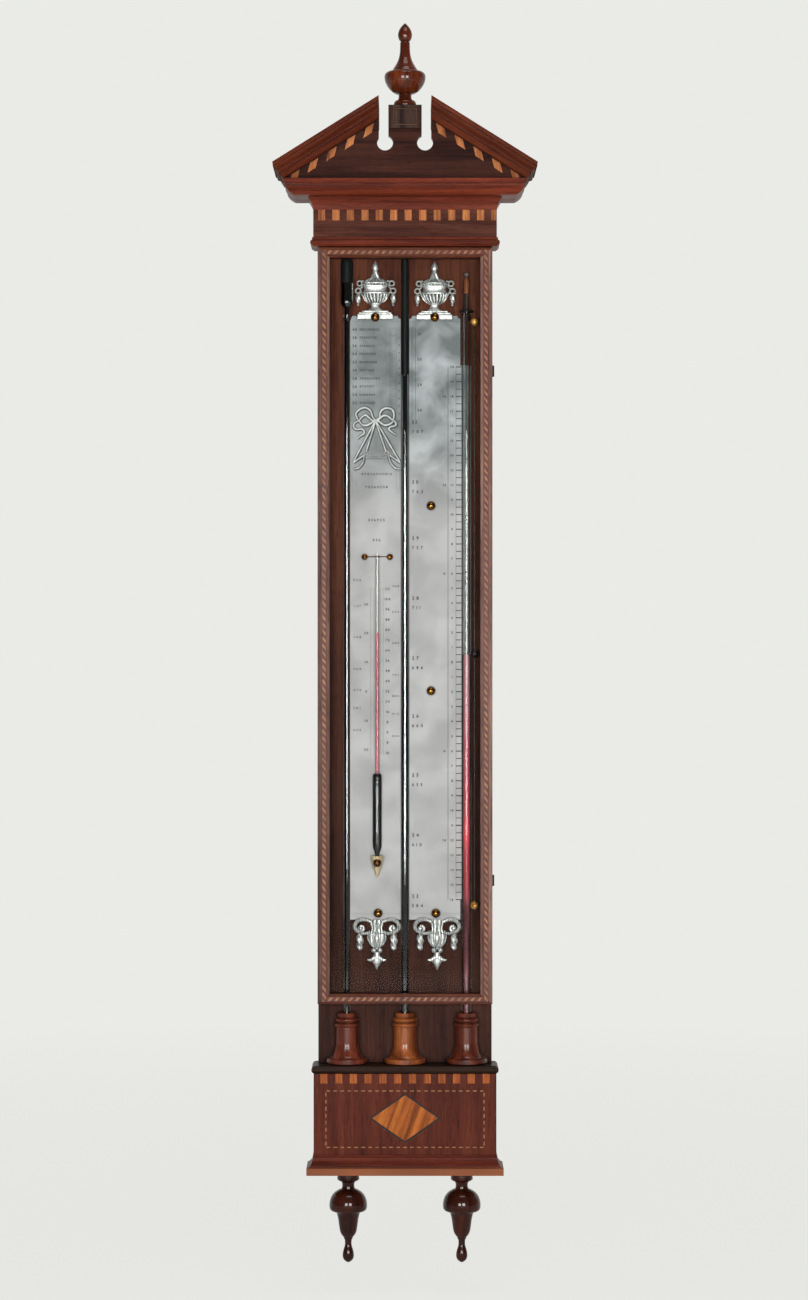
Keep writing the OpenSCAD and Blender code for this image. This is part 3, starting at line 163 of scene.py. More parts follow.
def shaded(tree, colour, value):
    even = put(tree, "CombineColor", {0: value, 1: value, 2: value})[0]
    return mix_colour(tree, 1.0, colour, even, "MULTIPLY")


def ramp(tree, fac, stops):
    out = put(tree, "ValToRGB", {0: fac})[0]
    els = out.node.color_ramp.elements
    while len(els) < len(stops):
        els.new(0.5)
    for el, (pos, colour) in zip(els, stops):
        el.position = pos
        el.color = colour
    return out


def object_coords(tree, scale=(1, 1, 1), rotation=(0, 0, 0), shift=(0, 0, 0)):
    own = put(tree, "TexCoord")["Object"]
    return put(tree, "Mapping", {
        "Vector": own, "Scale": scale, "Rotation": rotation, "Location": shift,
    })[0]


def object_xyz(tree):
    return put(tree, "SeparateXYZ", {0: object_coords(tree)})


def openness(tree, reach, samples=4):
    """1 on open faces, less in corners and hollows."""
    return put(tree, "AmbientOcclusion", {"Distance": reach}, samples=samples)["AO"]


def bump(tree, height, strength, distance=0.0002, **more):
    return put(tree, "Bump", {
        "Strength": strength, "Distance": distance, "Height": height, **more,
    })[0]


def mix_shader(tree, fac, a, b):
    return put(tree, "MixShader", {0: fac, 1: a, 2: b})[0]


def principled(tree, **ins):
    names = {
        "colour": "Base Color", "rough": "Roughness", "metal": "Metallic", "normal": "Normal",
        "coat": "Coat Weight", "coat_rough": "Coat Roughness", "ior": "IOR",
        "spec": "Specular IOR Level", "glass": "Transmission Weight",
        "coat_normal": "Coat Normal", "coat_ior": "Coat IOR",
    }
    return put(tree, "BsdfPrincipled", {names[k]: v for k, v in ins.items()})[0]


def as_material(build):
    """Lets a function that builds a shader in a node tree make a material; the name comes first."""
    def make(name, *args, **ins):
        made = bpy.data.materials.new(name)
        made.use_nodes = True
        tree = made.node_tree
        tree.nodes.clear()
        put(tree, "OutputMaterial", {"Surface": build(tree, *args, **ins)})
        return made
    return make


# materials
ALONG = {"x": (0.035, 1, 1), "y": (1, 0.035, 1), "z": (1, 1, 0.035)}
PORE_STRETCH = 0.055


def shades(r, g, b):
    """Dark, middle and light colours of one wood, from its middle colour."""
    return (
        srgb(r * 0.52, g * 0.45, b * 0.47),
        srgb(r, g, b),
        srgb(min(r * 1.34, 255), min(g * 1.50, 255), min(b * 1.45, 255)),
    )


@as_material
def wood(t, tone, along="z", tilt=0.0, rough=0.46, coat=0.16, coat_rough=0.12, seed=0.0, figure=0.4,
         wear=0.4, fine=1.0, polish_bump=0.25, streak=0.38, edge=None, inside=None):
    """Polished old wood: stretched fibres, broad figure, short pores, worn edges, dirt in the pores.

    edge is (z where it starts, z where it is full, colour) of another tone further down.
    inside is (distance from x = 0, colour) of faces that are turned to the inside of the case, where it paints
    shade and reflection.
    """
    dark, mid, light = shades(*tone)
    base = object_coords(t, rotation=(0, radians(tilt), 0), shift=(seed, seed * 0.7, seed * 1.3))
    grain = put(t, "Mapping", {"Vector": base, "Scale": ALONG[along]})[0]
    fibre = noise(t, grain, 620 * fine, 7.0, 0.66, 0.25)
    band = noise(t, grain, 70 * fine, 3.0, 0.5, 0.6)
    curl = put(t, "TexWave", {
        "Vector": grain, "Scale": 26.0 * fine, "Distortion": 9.0, "Detail": 3.0,
        "Detail Scale": 1.4, "Detail Roughness": 0.6,
    }, wave_type="BANDS", bands_direction="DIAGONAL")["Fac"]
    pore_map = put(t, "Mapping", {
        "Vector": base, "Scale": tuple(1 if s == 1 else PORE_STRETCH for s in ALONG[along]),
    })[0]
    pores = remap(t, noise(t, pore_map, 1900 * fine, 1.0, 0.4), 0.60, 0.70)
    mixed = plus(t, times(t, fibre, 1 - streak), times(t, band, streak))
    figured = plus(t, times(t, mixed, 1 - figure * 0.4), times(t, curl, figure * 0.4))
    colour = ramp(t, figured, [(0.32, dark), (0.50, mid), (0.74, light)])
    colour = mix_colour(t, times(t, pores, 0.5), colour, scaled(dark, 0.3))
    if edge:
        paler = mix_colour(t, 0.55, colour, srgb(*edge[2]))
        colour = mix_colour(t, remap(t, object_xyz(t)[2], edge[0], edge[1]), colour, paler)
    # Faces turned to the inside of the case get a dark grey: painted shade and reflection
    if inside:
        inner = calc(t, "LESS_THAN", absolute(t, object_xyz(t)[0]), inside[0])
        colour = mix_colour(t, times(t, inner, 0.85), colour, srgb(*inside[1]))
    colour = shaded(t, colour, spread(t, noise(t, base, 9.0, 2.0, 0.5), 0.78, 1.2))
    # Edges are rubbed lighter where the rounded normal leaves the true one
    soft = put(t, "Bevel", {"Radius": 0.0007}, samples=4)[0]
    true = put(t, "NewGeometry")["Normal"]
    same = put(t, "VectorMath", {0: soft, 1: true}, operation="DOT_PRODUCT")["Value"]
    rubbed = times(t, remap(t, same, 0.985, 0.80), remap(t, noise(t, base, 240.0), 0.35, 0.62, 0.1, 1.0))
    colour = mix_colour(t, times(t, rubbed, wear), colour, light)
    # Grime and deeper shade gather in the corners
    colour = mix_colour(t, remap(t, openness(t, 0.006), 0.85, 0.25, 0.0, 0.8), colour, scaled(dark, 0.2))
    rub = noise(t, base, 60.0, 4.0, 0.6)
    roughness = plus(t, spread(t, rub, rough - 0.07, rough + 0.10), times(t, pores, 0.2))
    height = minus(t, times(t, fibre, 0.5), times(t, pores, 0.7))
    ripple = bump(t, noise(t, base, 70.0, 1.0), 0.12, 0.0004, Normal=soft)
    return principled(t, colour=colour, rough=roughness, normal=bump(t, height, polish_bump, Normal=soft),
                      coat=coat, coat_rough=coat_rough, coat_normal=ripple, coat_ior=1.38, ior=1.5, spec=0.04)


@as_material
def metal(t, colour, shadow, rough, metallic=1.0, patch=300.0, scratch=(900, 900, 60), bump_by=0.12,
          dirt_and_shade=0.0, dirt_and_shade_reach=0.0012, spec=0.5, veins=0.0):
    """Handled metal: cloudy tarnish, fine scratches, and dirt with painted shade in the corners."""
    colour, shadow = srgb(*colour), srgb(*shadow)
    cloudy = noise(t, object_coords(t), patch, 5.0, 0.62, 0.3)
    lines = noise(t, object_coords(t, scratch), 1.0, 3.0, 0.7)
    tone = mix_colour(t, remap(t, cloudy, 0.34, 0.66), shadow, colour)
    tone = mix_colour(t, times(t, remap(t, lines, 0.58, 0.75), 0.35), tone, shadow)
    if veins:
        leaf = put(t, "TexWave", {
            "Vector": object_coords(t, (1, 0.4, 0.45)), "Scale": veins, "Distortion": 7.0, "Detail": 2.0,
            "Detail Scale": 1.6,
        }, wave_type="BANDS", bands_direction="X")["Fac"]
        tone = mix_colour(t, remap(t, leaf, 0.22, 0.04, 0.0, 0.75), tone, (0.03, 0.03, 0.032, 1))
    if dirt_and_shade:
        # Painted shade, with some dirt, darkens the corners and hollows
        hollow = remap(t, openness(t, dirt_and_shade_reach, 6), 0.85, 0.35)
        tone = mix_colour(t, times(t, hollow, dirt_and_shade), tone, (0.012, 0.012, 0.013, 1))
    return principled(t, colour=tone, metal=metallic, spec=spec,
                      rough=plus(t, spread(t, cloudy, rough + 0.08, rough - 0.06), times(t, lines, 0.06)),
                      normal=bump(t, plus(t, lines, times(t, cloudy, 0.8)), bump_by))


@as_material
def plate_metal(t):
    """Pewter, satin and even below, cloudy and darker towards its top, darkest on the left plate; the darker
    top is a painted reflection of the dark room above the lamps.
    """
    x, _, z = object_xyz(t)
    # Darker towards the top: a painted reflection of the dark room above the lamps
    high = remap(t, z, -0.36, -0.22, kind="SMOOTHSTEP")
    cloudy = noise(t, object_coords(t), 26.0, 3.0, 0.55, 0.4)
    fine = noise(t, object_coords(t, (700, 700, 1400)), 1.0, 3.0, 0.7)
    clouds = remap(t, cloudy, 0.36, 0.64)
    upper = mix_colour(t, clouds, srgb(88, 93, 95), srgb(140, 144, 147))
    upper = mix_colour(t, remap(t, x, 0.002, -0.002, 0.0, 0.4), upper, srgb(78, 84, 84))
    lower = mix_colour(t, clouds, srgb(131, 130, 131), srgb(141, 140, 141))
    tone = mix_colour(t, high, lower, upper)
    tone = mix_colour(t, remap(t, fine, 0.58, 0.8, 0.0, 0.3), tone, srgb(110, 113, 113))
    # Painted shade darkens the plate around and under its raised ornaments
    tone = mix_colour(t, remap(t, openness(t, 0.002), 0.9, 0.4, 0.0, 0.85), tone, srgb(34, 34, 35))
    rough = plus(t, spread(t, cloudy, 0.52, 0.46), times(t, fine, 0.05))
    return principled(t, colour=tone, rough=rough, metal=0.45, normal=bump(t, fine, 0.08), spec=0.3)


@as_material
def still_mercury(t):
    """Mirror-smooth liquid metal with a faint film on it; its colour is kept far darker than mercury's,
    painting the dark room that it reflects.
    """
    film = noise(t, object_coords(t, (1, 1, 0.1)), 60.0, 2.0, 0.5)
    tone = two_tone(t, film, (98, 100, 103), (86, 88, 91))
    return principled(t, colour=tone, rough=spread(t, film, 0.035, 0.05), metal=1.0)


@as_material
def glass(t, tint, ior=1.47, black_above=None, black_left_only=False):
    """Clear glass that lets the lamps' light through.

    Above the height black_above it is opaque and nearly black, with black_left_only only left of the middle.
    """
    dust = noise(t, object_coords(t, (1, 1, 0.25)), 55.0, 2.0, 0.5)
    tone = mix_colour(t, remap(t, dust, 0.35, 0.75, 0.0, 0.25), tint, scaled(tint, 0.93))
    shader = principled(t, colour=tone, rough=0.0, ior=ior, glass=1.0)
    if black_above is not None:
        x, _, z = object_xyz(t)
        # Opaque and nearly black above the height
        film = remap(t, z, black_above - 0.0006, black_above + 0.0006)
        if black_left_only:
            film = times(t, film, calc(t, "LESS_THAN", x, 0.0))
        black_tone = mix_colour(t, dust, (0.004, 0.005, 0.005, 1), (0.010, 0.012, 0.011, 1))
        dark = principled(t, colour=black_tone, rough=remap(t, dust, 0.3, 0.8, 0.26, 0.38), spec=0.08)
        shader = mix_shader(t, film, shader, dark)
    through = put(t, "BsdfTransparent", {"Color": (0.97, 0.98, 0.97, 1)})[0]
    rays = put(t, "LightPath")
    # Bounced light passes straight on too, or a lamp would count twice behind the glass
    mirrored = times(t, rays["Is Glossy Ray"], minus(t, 1.0, rays["Is Transmission Ray"]))
    bounced = calc(t, "MAXIMUM", rays["Is Diffuse Ray"], mirrored)
    return mix_shader(t, calc(t, "MAXIMUM", rays["Is Shadow Ray"], bounced), shader, through)


@as_material
def rope_banding(t, stile, rails, half, pitch_stile, pitch_rail):
    """Rope banding: leaning light beads on a reddish ground, along the stiles and the rails.

    stile is the distance of its middle from x = 0, rails are the two heights of its middle.
    """
    x, _, z = object_xyz(t)
    base = object_coords(t)
    on_stile = calc(t, "GREATER_THAN", absolute(t, x), stile - half)
    from_stile = absolute(t, minus(t, absolute(t, x), stile))
    from_rail = calc(t, "MINIMUM", *[absolute(t, minus(t, z, height)) for height in rails])

    def choose(rail_value, stile_value):
        values = {0: on_stile, 2: rail_value, 3: stile_value}
        return put(t, "Mix", values, data_type="FLOAT")[0]

    across = choose(from_rail, from_stile)
    wobble = times(t, noise(t, base, 90.0, 2.0), 0.0012)
    lean = 1.25
    up = plus(t, plus(t, z, times(t, x, lean)), wobble)
    along = plus(t, minus(t, x, times(t, z, 1 / lean)), wobble)
    part = calc(t, "FRACT", choose(times(t, along, 1 / pitch_rail), times(t, up, 1 / pitch_stile)))
    pulse = remap(t, absolute(t, minus(t, part, 0.5)), 0.30, 0.08, kind="SMOOTHSTEP")
    inner = remap(t, across, half * 0.86, half * 0.40, kind="SMOOTHSTEP")
    fibre = noise(t, object_coords(t, (1, 1, 0.3)), 900.0, 4.0, 0.6)
    uneven = remap(t, noise(t, base, 34.0, 2.0), 0.35, 0.65, 0.55, 1.0)
    bead = times(t, times(t, pulse, inner), uneven)
    light = two_tone(t, fibre, (166, 112, 72), (126, 80, 48), 0.7)
    ground = two_tone(t, fibre, (98, 52, 40), (62, 32, 26), 0.7)
    border = remap(t, across, half * 0.78, half * 0.96)
    ground = mix_colour(t, times(t, border, 0.6), ground, srgb(40, 22, 18))
    return principled(t, colour=mix_colour(t, bead, ground, light), rough=spread(t, fibre, 0.36, 0.5),
                      normal=bump(t, fibre, 0.25), coat=0.14, coat_rough=0.15, spec=0.15)


@as_material
def line_inlay(t, middle, half_w, half_h):
    """Black line round the diamond, and light dashes everywhere else."""
    x, _, z = object_xyz(t)
    off = absolute(t, minus(t, z, middle))
    reach = plus(t, times(t, absolute(t, x), 1 / half_w), times(t, off, 1 / half_h))
    fibre = noise(t, object_coords(t, (1, 1, 0.2)), 800.0, 4.0, 0.6)
    pale = two_tone(t, fibre, (150, 104, 68), (98, 60, 40), 0.7)
    black = two_tone(t, fibre, (16, 11, 10), (34, 24, 20), 0.7)
    return principled(t, colour=mix_colour(t, calc(t, "GREATER_THAN", reach, 1.0), black, pale),
                      rough=spread(t, fibre, 0.34, 0.5), coat=0.1, spec=0.15)


@as_material
def stopper_finish(t, low, high):
    """Black collar, dark shank, brown wooden grip and pale knob, by height."""
    fibre = noise(t, object_coords(t, (1, 1, 0.06)), 900.0, 4.0, 0.6)
    zones = ramp(t, remap(t, object_xyz(t)[2], low, high), [
        (0.0, srgb(20, 16, 15)), (0.19, srgb(14, 12, 12)), (0.20, srgb(44, 38, 34)), (0.53, srgb(52, 44, 37)),
        (0.545, srgb(132, 76, 42)), (0.84, srgb(118, 68, 40)), (0.86, srgb(70, 60, 52)),
        (0.91, srgb(96, 92, 86)),
    ])
    tone = mix_colour(t, remap(t, fibre, 0.4, 0.75, 0.0, 0.55), zones, srgb(26, 18, 14))
    return principled(t, colour=tone, rough=spread(t, fibre, 0.3, 0.44), coat=0.25, coat_rough=0.1, spec=0.2)


@as_material
def near_posts(t, heights, reach):
    """Brass close to the two posts, and a blackened wire between them."""
    z = object_xyz(t)[2]
    off = calc(t, "MINIMUM", *[absolute(t, minus(t, z, height)) for height in heights])
    near = calc(t, "LESS_THAN", off, reach)
    worn = noise(t, object_coords(t), 400.0, 3.0, 0.6)
    gold = two_tone(t, worn, (150, 100, 48), (236, 182, 98))
    black = two_tone(t, worn, (20, 17, 16), (40, 33, 29))
    return principled(t, colour=mix_colour(t, near, black, gold), metal=times(t, near, 0.6),
                      rough=spread(t, worn, 0.18, 0.30), spec=0.2)


@as_material
def pinned_cup(t, pin_x, pin_z, pin_r, pin_front):
    """Bone cup with a dark brass pin in its front."""
    x, y, z = object_xyz(t)
    dx, dz = minus(t, x, pin_x), minus(t, z, pin_z)
    away = plus(t, times(t, dx, dx), times(t, dz, dz))
    pin = times(t, calc(t, "LESS_THAN", away, pin_r ** 2), calc(t, "LESS_THAN", y, pin_front))
    worn = noise(t, object_coords(t, (1, 1, 0.2)), 500.0, 4.0, 0.6)
    ivory = two_tone(t, worn, (150, 126, 88), (204, 190, 158))
    dark_brass = two_tone(t, worn, (74, 42, 24), (132, 86, 52))
    return principled(t, colour=mix_colour(t, pin, ivory, dark_brass), metal=pin,
                      rough=spread(t, worn, 0.24, 0.4), spec=0.3)


def in_bore(t):
    """Long streaks of the liquids in their narrow glass."""
    return noise(t, object_coords(t, (1, 1, 0.12)), 160.0, 3.0, 0.5)


@as_material
def fading_spirit(t, low, high, stops):
    """Red spirit that is pale at its top and deep red further down; its darkest part paints the dark wood seen
    through it, and a brighter band paints the lamps' highlight.
    """
    cloudy = in_bore(t)
    tone = ramp(t, remap(t, object_xyz(t)[2], low, high), stops)
    tone = mix_colour(t, remap(t, cloudy, 0.35, 0.65, 0.0, 0.18), tone, srgb(236, 150, 160))
    return principled(t, colour=tone, rough=spread(t, cloudy, 0.08, 0.16), ior=1.36)


@as_material
def bore_and_bulb(t, deep, bright, bulb_end):
    """Coloured spirit in a bore, which looks black below bulb_end, where the bore is wide."""
    cloudy = in_bore(t)
    tone = two_tone(t, cloudy, deep, bright)
    black = two_tone(t, cloudy, (17, 15, 18), (30, 27, 31))
    tone = mix_colour(t, remap(t, object_xyz(t)[2], bulb_end + 0.002, bulb_end - 0.002), tone, black)
    return principled(t, colour=tone, rough=spread(t, cloudy, 0.08, 0.16), ior=1.36)


def dress(finish, *names):
    """Puts a material on nodes of the frame."""
    for name in names:
        for material_slot in nodes[name].material_slots:
            material_slot.material = finish
    return finish


CORNICE = {"figure": 0.1, "fine": 1.6, "wear": 0.05, "coat": 0.02, "rough": 0.56}
TURNED = {"rough": 0.34, "coat": 0.75, "polish_bump": 0.1}
dress(wood("moulding_wood", (94, 38, 24), "x", seed=0.31),
      "bead_moulding", "cavetto_moulding", "corona_moulding")
dress(wood("base_wood", (76, 28, 17), "x", seed=5.3, edge=(-0.9950, -0.9975, (158, 98, 66))), "base_moulding")
dress(wood("frieze_wood", (73, 39, 31), "x", seed=1.23, figure=0.3), "frieze_front")
dress(wood("frieze_side_wood", (76, 38, 29), "y", seed=1.7), "frieze_sides")
# The right raking cornice is a little lighter than the left, as painted light from the right
dress(wood("cornice_left", (80, 33, 18), "x", tilt=32, seed=0.9, **CORNICE), "raking_cornice_left")
dress(wood("cornice_right", (82, 36, 21), "x", tilt=-32, seed=3.9, **CORNICE), "raking_cornice_right")
# The backboard is made darker towards its bottom: painted shade inside the case
dress(wood("board_wood", (80, 42, 30), seed=0.11, rough=0.5, coat=0.08, fine=0.8, figure=0.25,
           edge=(-0.16, -0.62, (24, 14, 12))), "backboard")
# The right stile is given a lighter tone than the left, as painted light from the right
dress(wood("stile_wood", (92, 65, 57), seed=0.57, figure=0.2), "door_stile_left")
dress(wood("stile_right_wood", (112, 80, 73), seed=2.57, figure=0.2), "door_stile_right")
dress(wood("rail_wood", (84, 41, 26), "x", seed=0.77, figure=0.2), "door_rail_top", "door_rail_bottom")
dress(wood("case_side_wood", (74, 40, 31), seed=1.1, inside=(0.0815, (40, 36, 37))), "case_sides")
dress(wood("walnut_x", (36, 22, 16), "x", seed=0.43), "case_head", "case_foot", "shelf", "glazing_beads")
dress(wood("block_wood", (52, 36, 31), seed=0.63, figure=0.6), "pedestal_block")
dress(wood("tympanum_wood", (51, 26, 20), "x", seed=1.37), "tympanum")
dress(wood("box_wood", (80, 34, 23), seed=2.9, fine=1.25, figure=0.12), "box_front", "box_sides")
dress(wood("light_wood", (162, 98, 60), seed=0.2, figure=0.15, fine=1.4, wear=0.15),
      "frieze_inlay", "tympanum_inlay")
dress(wood("box_block_wood", (152, 80, 41), seed=6.2, figure=0.1, fine=1.4, wear=0.15), "box_inlay")
dress(wood("orange_wood", (140, 74, 32), tilt=-20, seed=0.5, figure=0.3, streak=0.6, fine=1.5, wear=0.2),
      "diamond_inlay")
dress(wood("bell_dark", (92, 40, 26), seed=1.9, coat_rough=0.20, wear=0.25, **TURNED),
      "bell_left", "bell_right")
dress(wood("bell_light", (137, 71, 36), seed=2.6, coat_rough=0.20, wear=0.25, **TURNED), "bell_middle")
dress(wood("finial_wood", (78, 31, 14), seed=3.3, coat_rough=0.08, wear=0.2, **TURNED), "finial")
pendant_wood = wood("pendant_wood", (47, 17, 9), seed=7.3, coat_rough=0.08, wear=0.2, **TURNED)
dress(pendant_wood, "pendants")
dress(wood("boxwood", (166, 126, 82), seed=4.1, figure=0.1), "cistern", "cistern_lid")

CAST = {"scratch": (900, 900, 900), "dirt_and_shade": 1.0}
casting = metal("casting", (222, 224, 221), (140, 143, 142), 0.32, 0.7, bump_by=0.35,
                dirt_and_shade_reach=0.0018, **CAST)
leaf_casting = metal("leaf_casting", (226, 228, 226), (150, 153, 152), 0.36, 0.6, bump_by=0.3,
                     dirt_and_shade_reach=0.0018, veins=150.0, **CAST)
relief = metal("relief", (190, 191, 190), (150, 152, 152), 0.45, 0.25, bump_by=0.1, dirt_and_shade_reach=0.0024, **CAST)
engraved = metal("engraved", (58, 59, 62), (34, 34, 36), 0.6, 0.0, patch=700.0, spec=0.1)
bow_shade = metal("bow_shade", (58, 61, 64), (42, 44, 47), 0.6, 0.0, patch=700.0, spec=0.1)
dress(metal("brass", (170, 118, 56), (88, 54, 26), 0.16, patch=500.0, bump_by=0.04, dirt_and_shade=0.8),
      "plate_pins", "thermometer_tie", "hinge_pins", "hanging_plate", "hanging_screws")
dress(metal("iron", (24, 21, 20), (12, 10, 10), 0.40, metallic=0.4, patch=500.0),
      "hinge_leaves_case", "hinge_leaves_door", "pointer")
dress(plate_metal("pewter"), "plate_left", "plate_right")

# Heights in metres above which the two tubes are opaque and nearly black
STRAIGHT_BLACK_FROM, CONTRA_BLACK_FROM = -0.188, -0.094
CLEAR = (0.97, 0.98, 0.97, 1)
dress(glass("tube_glass", CLEAR), "thermometer_glass")
dress(glass("straight_glass", (0.95, 0.96, 0.95, 1), black_above=STRAIGHT_BLACK_FROM), "straight_tube")
dress(glass("contra_glass", CLEAR, black_above=CONTRA_BLACK_FROM, black_left_only=True), "contra_glass")
dress(glass("pane_glass", (0.985, 0.99, 0.985, 1), ior=1.12), "door_glass")

mercury = dress(still_mercury("mercury"), "straight_mercury", "contra_mercury")
SPIRIT_LOW, SPIRIT_HIGH = -0.90, -0.47
# The brightest stop, at 0.56, is a painted highlight of the lamps; the dark stops below 0.4 paint the dark
# wood seen through the spirit
spirit = dress(fading_spirit("spirit", SPIRIT_LOW, SPIRIT_HIGH, [
    (0.0, srgb(44, 15, 17)), (0.39, srgb(66, 22, 25)), (0.415, srgb(142, 44, 52)), (0.52, srgb(170, 48, 58)),
    (0.56, srgb(222, 62, 72)), (0.61, srgb(176, 54, 66)), (0.76, srgb(168, 78, 92)),
    (0.90, srgb(160, 112, 120)),
]), "contra_spirit")
BULB_HEIGHT = 0.0875
thermo_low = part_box("thermometer_spirit")[0]
bulb_spirit = dress(bore_and_bulb("bulb_spirit", (164, 50, 76), (196, 80, 104), thermo_low[2] + BULB_HEIGHT),
                    "thermometer_spirit")

POST_HEIGHTS, POST_REACH = (-0.1343, -0.7315), 0.0046
dress(near_posts("guide_finish", POST_HEIGHTS, POST_REACH), "guide_wire")
PIN_BELOW_RIM, PIN_R, PIN_FRONT = 0.007, 0.0043, -0.0204
cup_low, cup_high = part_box("thermometer_cup")
dress(pinned_cup("cup_finish", (cup_low[0] + cup_high[0]) / 2, cup_high[2] - PIN_BELOW_RIM, PIN_R, PIN_FRONT),
      "thermometer_cup")
DOOR_TOP, DOOR_BOTTOM = -0.0603, -0.8303
ROPE_X, ROPE_INSET, ROPE_HALF = 0.0824, 0.0049, 0.0026
PITCH_STILE, PITCH_RAIL = 0.00725, 0.00692
dress(rope_banding("rope", ROPE_X, (DOOR_TOP - ROPE_INSET, DOOR_BOTTOM + ROPE_INSET), ROPE_HALF,
                   PITCH_STILE, PITCH_RAIL), "rope_inlay")
BORDER_X, BORDER_Z = 0.0037, 0.0026
diamond_low, diamond_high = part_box("diamond_inlay")
dress(line_inlay("line_inlay", (diamond_low[2] + diamond_high[2]) / 2, diamond_high[0] + BORDER_X,
                 (diamond_high[2] - diamond_low[2]) / 2 + BORDER_Z), "box_stringing")
stopper_low, stopper_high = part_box("stopper")
dress(stopper_finish("stopper_mixed", stopper_low[2], stopper_high[2]), "stopper")


# shapes in millimetres (x, distance from the wall, z)
def around(n):
    return [2 * pi * k / n for k in range(n)]


def circle(x, d, z, r, n):
    return [(x + r * cos(a), d, z + r * sin(a)) for a in around(n)]


class Shape:
    """Closed surfaces gathered into one mesh."""

    def __init__(self):
        self.points = []
        self.faces = []

    def add(self, points, faces):
        start = len(self.points)
        self.points += points
        self.faces += [[start + i for i in f] for f in faces]

    def rings(self, rings, loop=False):
        """Skin over rings of equal length, closed at both ends or into a loop."""
        n = len(rings[0])
        faces = []
        for i in range(len(rings) - (0 if loop else 1)):
            a, b = i * n, ((i + 1) % len(rings)) * n
            faces += [[a + k, a + (k + 1) % n, b + (k + 1) % n, b + k] for k in range(n)]
        if not loop:
            faces += [list(range(n)), [(len(rings) - 1) * n + k for k in range(n)][::-1]]
        self.add([p for ring in rings for p in ring], faces)

    def block(self, x0, x1, d0, d1, z0, z1, c=0.0):
        """Block whose front edges are cut off by c."""
        rows = [(d0, 0), (d1 - c, 0), (d1, c)] if c else [(d0, 0), (d1, 0)]
        self.rings([[(x0 + e, d, z0 + e), (x1 - e, d, z0 + e), (x1 - e, d, z1 - e), (x0 + e, d, z1 - e)]
                    for d, e in rows])

    def ball(self, x, d, z, rx, rd, rz, n=12):
        rings = []
        for i in range(n // 2 + 1):
            a = pi * (i + 0.02) / (n // 2 + 0.04) - pi / 2
            rings.append([(x + rx * cos(a) * cos(b), d + rd * cos(a) * sin(b),
                           z + rz * sin(a)) for b in around(n)])
        self.rings(rings)

    def tube(self, path, radii, sides=8, flat=1.0, loop=False):
        """Tube along (x, d, z) points; flat scales its thickness away from the wall."""
        if isinstance(radii, (int, float)):
            radii = [radii] * len(path)
        rings = []
        count = len(path)
        for i, (p, r) in enumerate(zip(path, radii)):
            before = path[(i - 1) % count] if loop or i else p
            after = path[(i + 1) % count] if loop or i < count - 1 else p
            tx, tz = after[0] - before[0], after[2] - before[2]
            length = hypot(tx, tz) or 1.0
            nx, nz = -tz / length, tx / length
            rings.append([
                (p[0] + r * cos(a) * nx, p[1] + r * flat * sin(a), p[2] + r * cos(a) * nz)
                for a in around(sides)
            ])
        self.rings(rings, loop)

    def turned(self, x, z, profile, depth, flutes=0, n=24):
        """Half-round relief on the board; the profile lists (radius, height, flute depth, twist)."""
        widest = max(p[0] for p in profile)
        rings = []
        for r, h, amount, twist in [(*p, 0, 0)[:4] for p in profile]:
            ring = []
            for k in range(n + 1):
                a = pi * k / n
                lobe = abs(sin(flutes * a + twist)) if flutes else 0
                deep = depth * sqrt(r / widest) * sin(a) * (1 - amount * (1 - lobe))
                ring.append((x - r * cos(a) * (1 - amount * 0.15 * (1 - lobe)), BOARD_D + deep, z + h))
            rings.append(ring)
        self.rings(rings)

    def drop(self, x, d, z_top, z_end, half, turns, point=0.25):
        """Twisted hanging drop of three lobes; point is the share of its width that its end keeps."""
        rings = []
        steps = 22
        for i in range(steps + 1):
            t = i / steps
            body = sin(pi * (0.06 + 0.90 * t ** 0.8)) ** 0.5
            r = half * (0.25 + 0.75 * body) * (1 if t < 0.9 else 1 - (t - 0.9) * 10 * (1 - point))
            ring = []
            for a in around(18):
                rr = r * (1 + 0.20 * cos(3 * a + turns * 2 * pi * t))
                ring.append((x + rr * cos(a), d + 0.8 * rr * sin(a), z_top + (z_end - z_top) * t))
            rings.append(ring)
        self.rings(rings)

    def piece(self, name, material, body="case", sharp=38, smooth=True):
        mesh = bpy.data.meshes.new(name)
        mesh.from_pydata([(x / 1000, -d / 1000, z / 1000) for x, d, z in self.points], [], self.faces)
        bm = bmesh.new()
        bm.from_mesh(mesh)
        bmesh.ops.recalc_face_normals(bm, faces=bm.faces)
        limit = radians(sharp)
        for face in bm.faces:
            face.smooth = smooth
        for edge in bm.edges:
            edge.smooth = edge.calc_face_angle(0.0) < limit
        bm.to_mesh(mesh)
        bm.free()
        mesh.materials.append(material)
        made = add_object(name, mesh)
        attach(made, body)
        return made


def curve_through(points, steps=6):
    """Smooth line through the points."""
    out = []
    for i in range(len(points) - 1):
        a = points[max(i - 1, 0)]
        b, c = points[i], points[i + 1]
        e = points[min(i + 2, len(points) - 1)]
        for k in range(steps):
            t = k / steps
            out.append(tuple(
                0.5 * (2 * b[j] + (c[j] - a[j]) * t + (2 * a[j] - 5 * b[j] + 4 * c[j] - e[j]) * t * t
                       + (3 * b[j] - a[j] - 3 * c[j] + e[j]) * t ** 3)
                for j in range(len(b))
            ))
    out.append(tuple(points[-1]))
    return out


def swept(x, z, side, d, points, steps):
    """Smooth path at the distance d; its points count from x towards one side, and from z."""
    return [(x + side * a, d, z + b) for a, b in curve_through(points, steps)]


# castings above and below the plates
GADROONS = [(6.2, 13.2), (8.6, 14.2), (10.8, 15.9), (12.5, 18.2), (13.6, 20.8), (14.1, 23.2)]
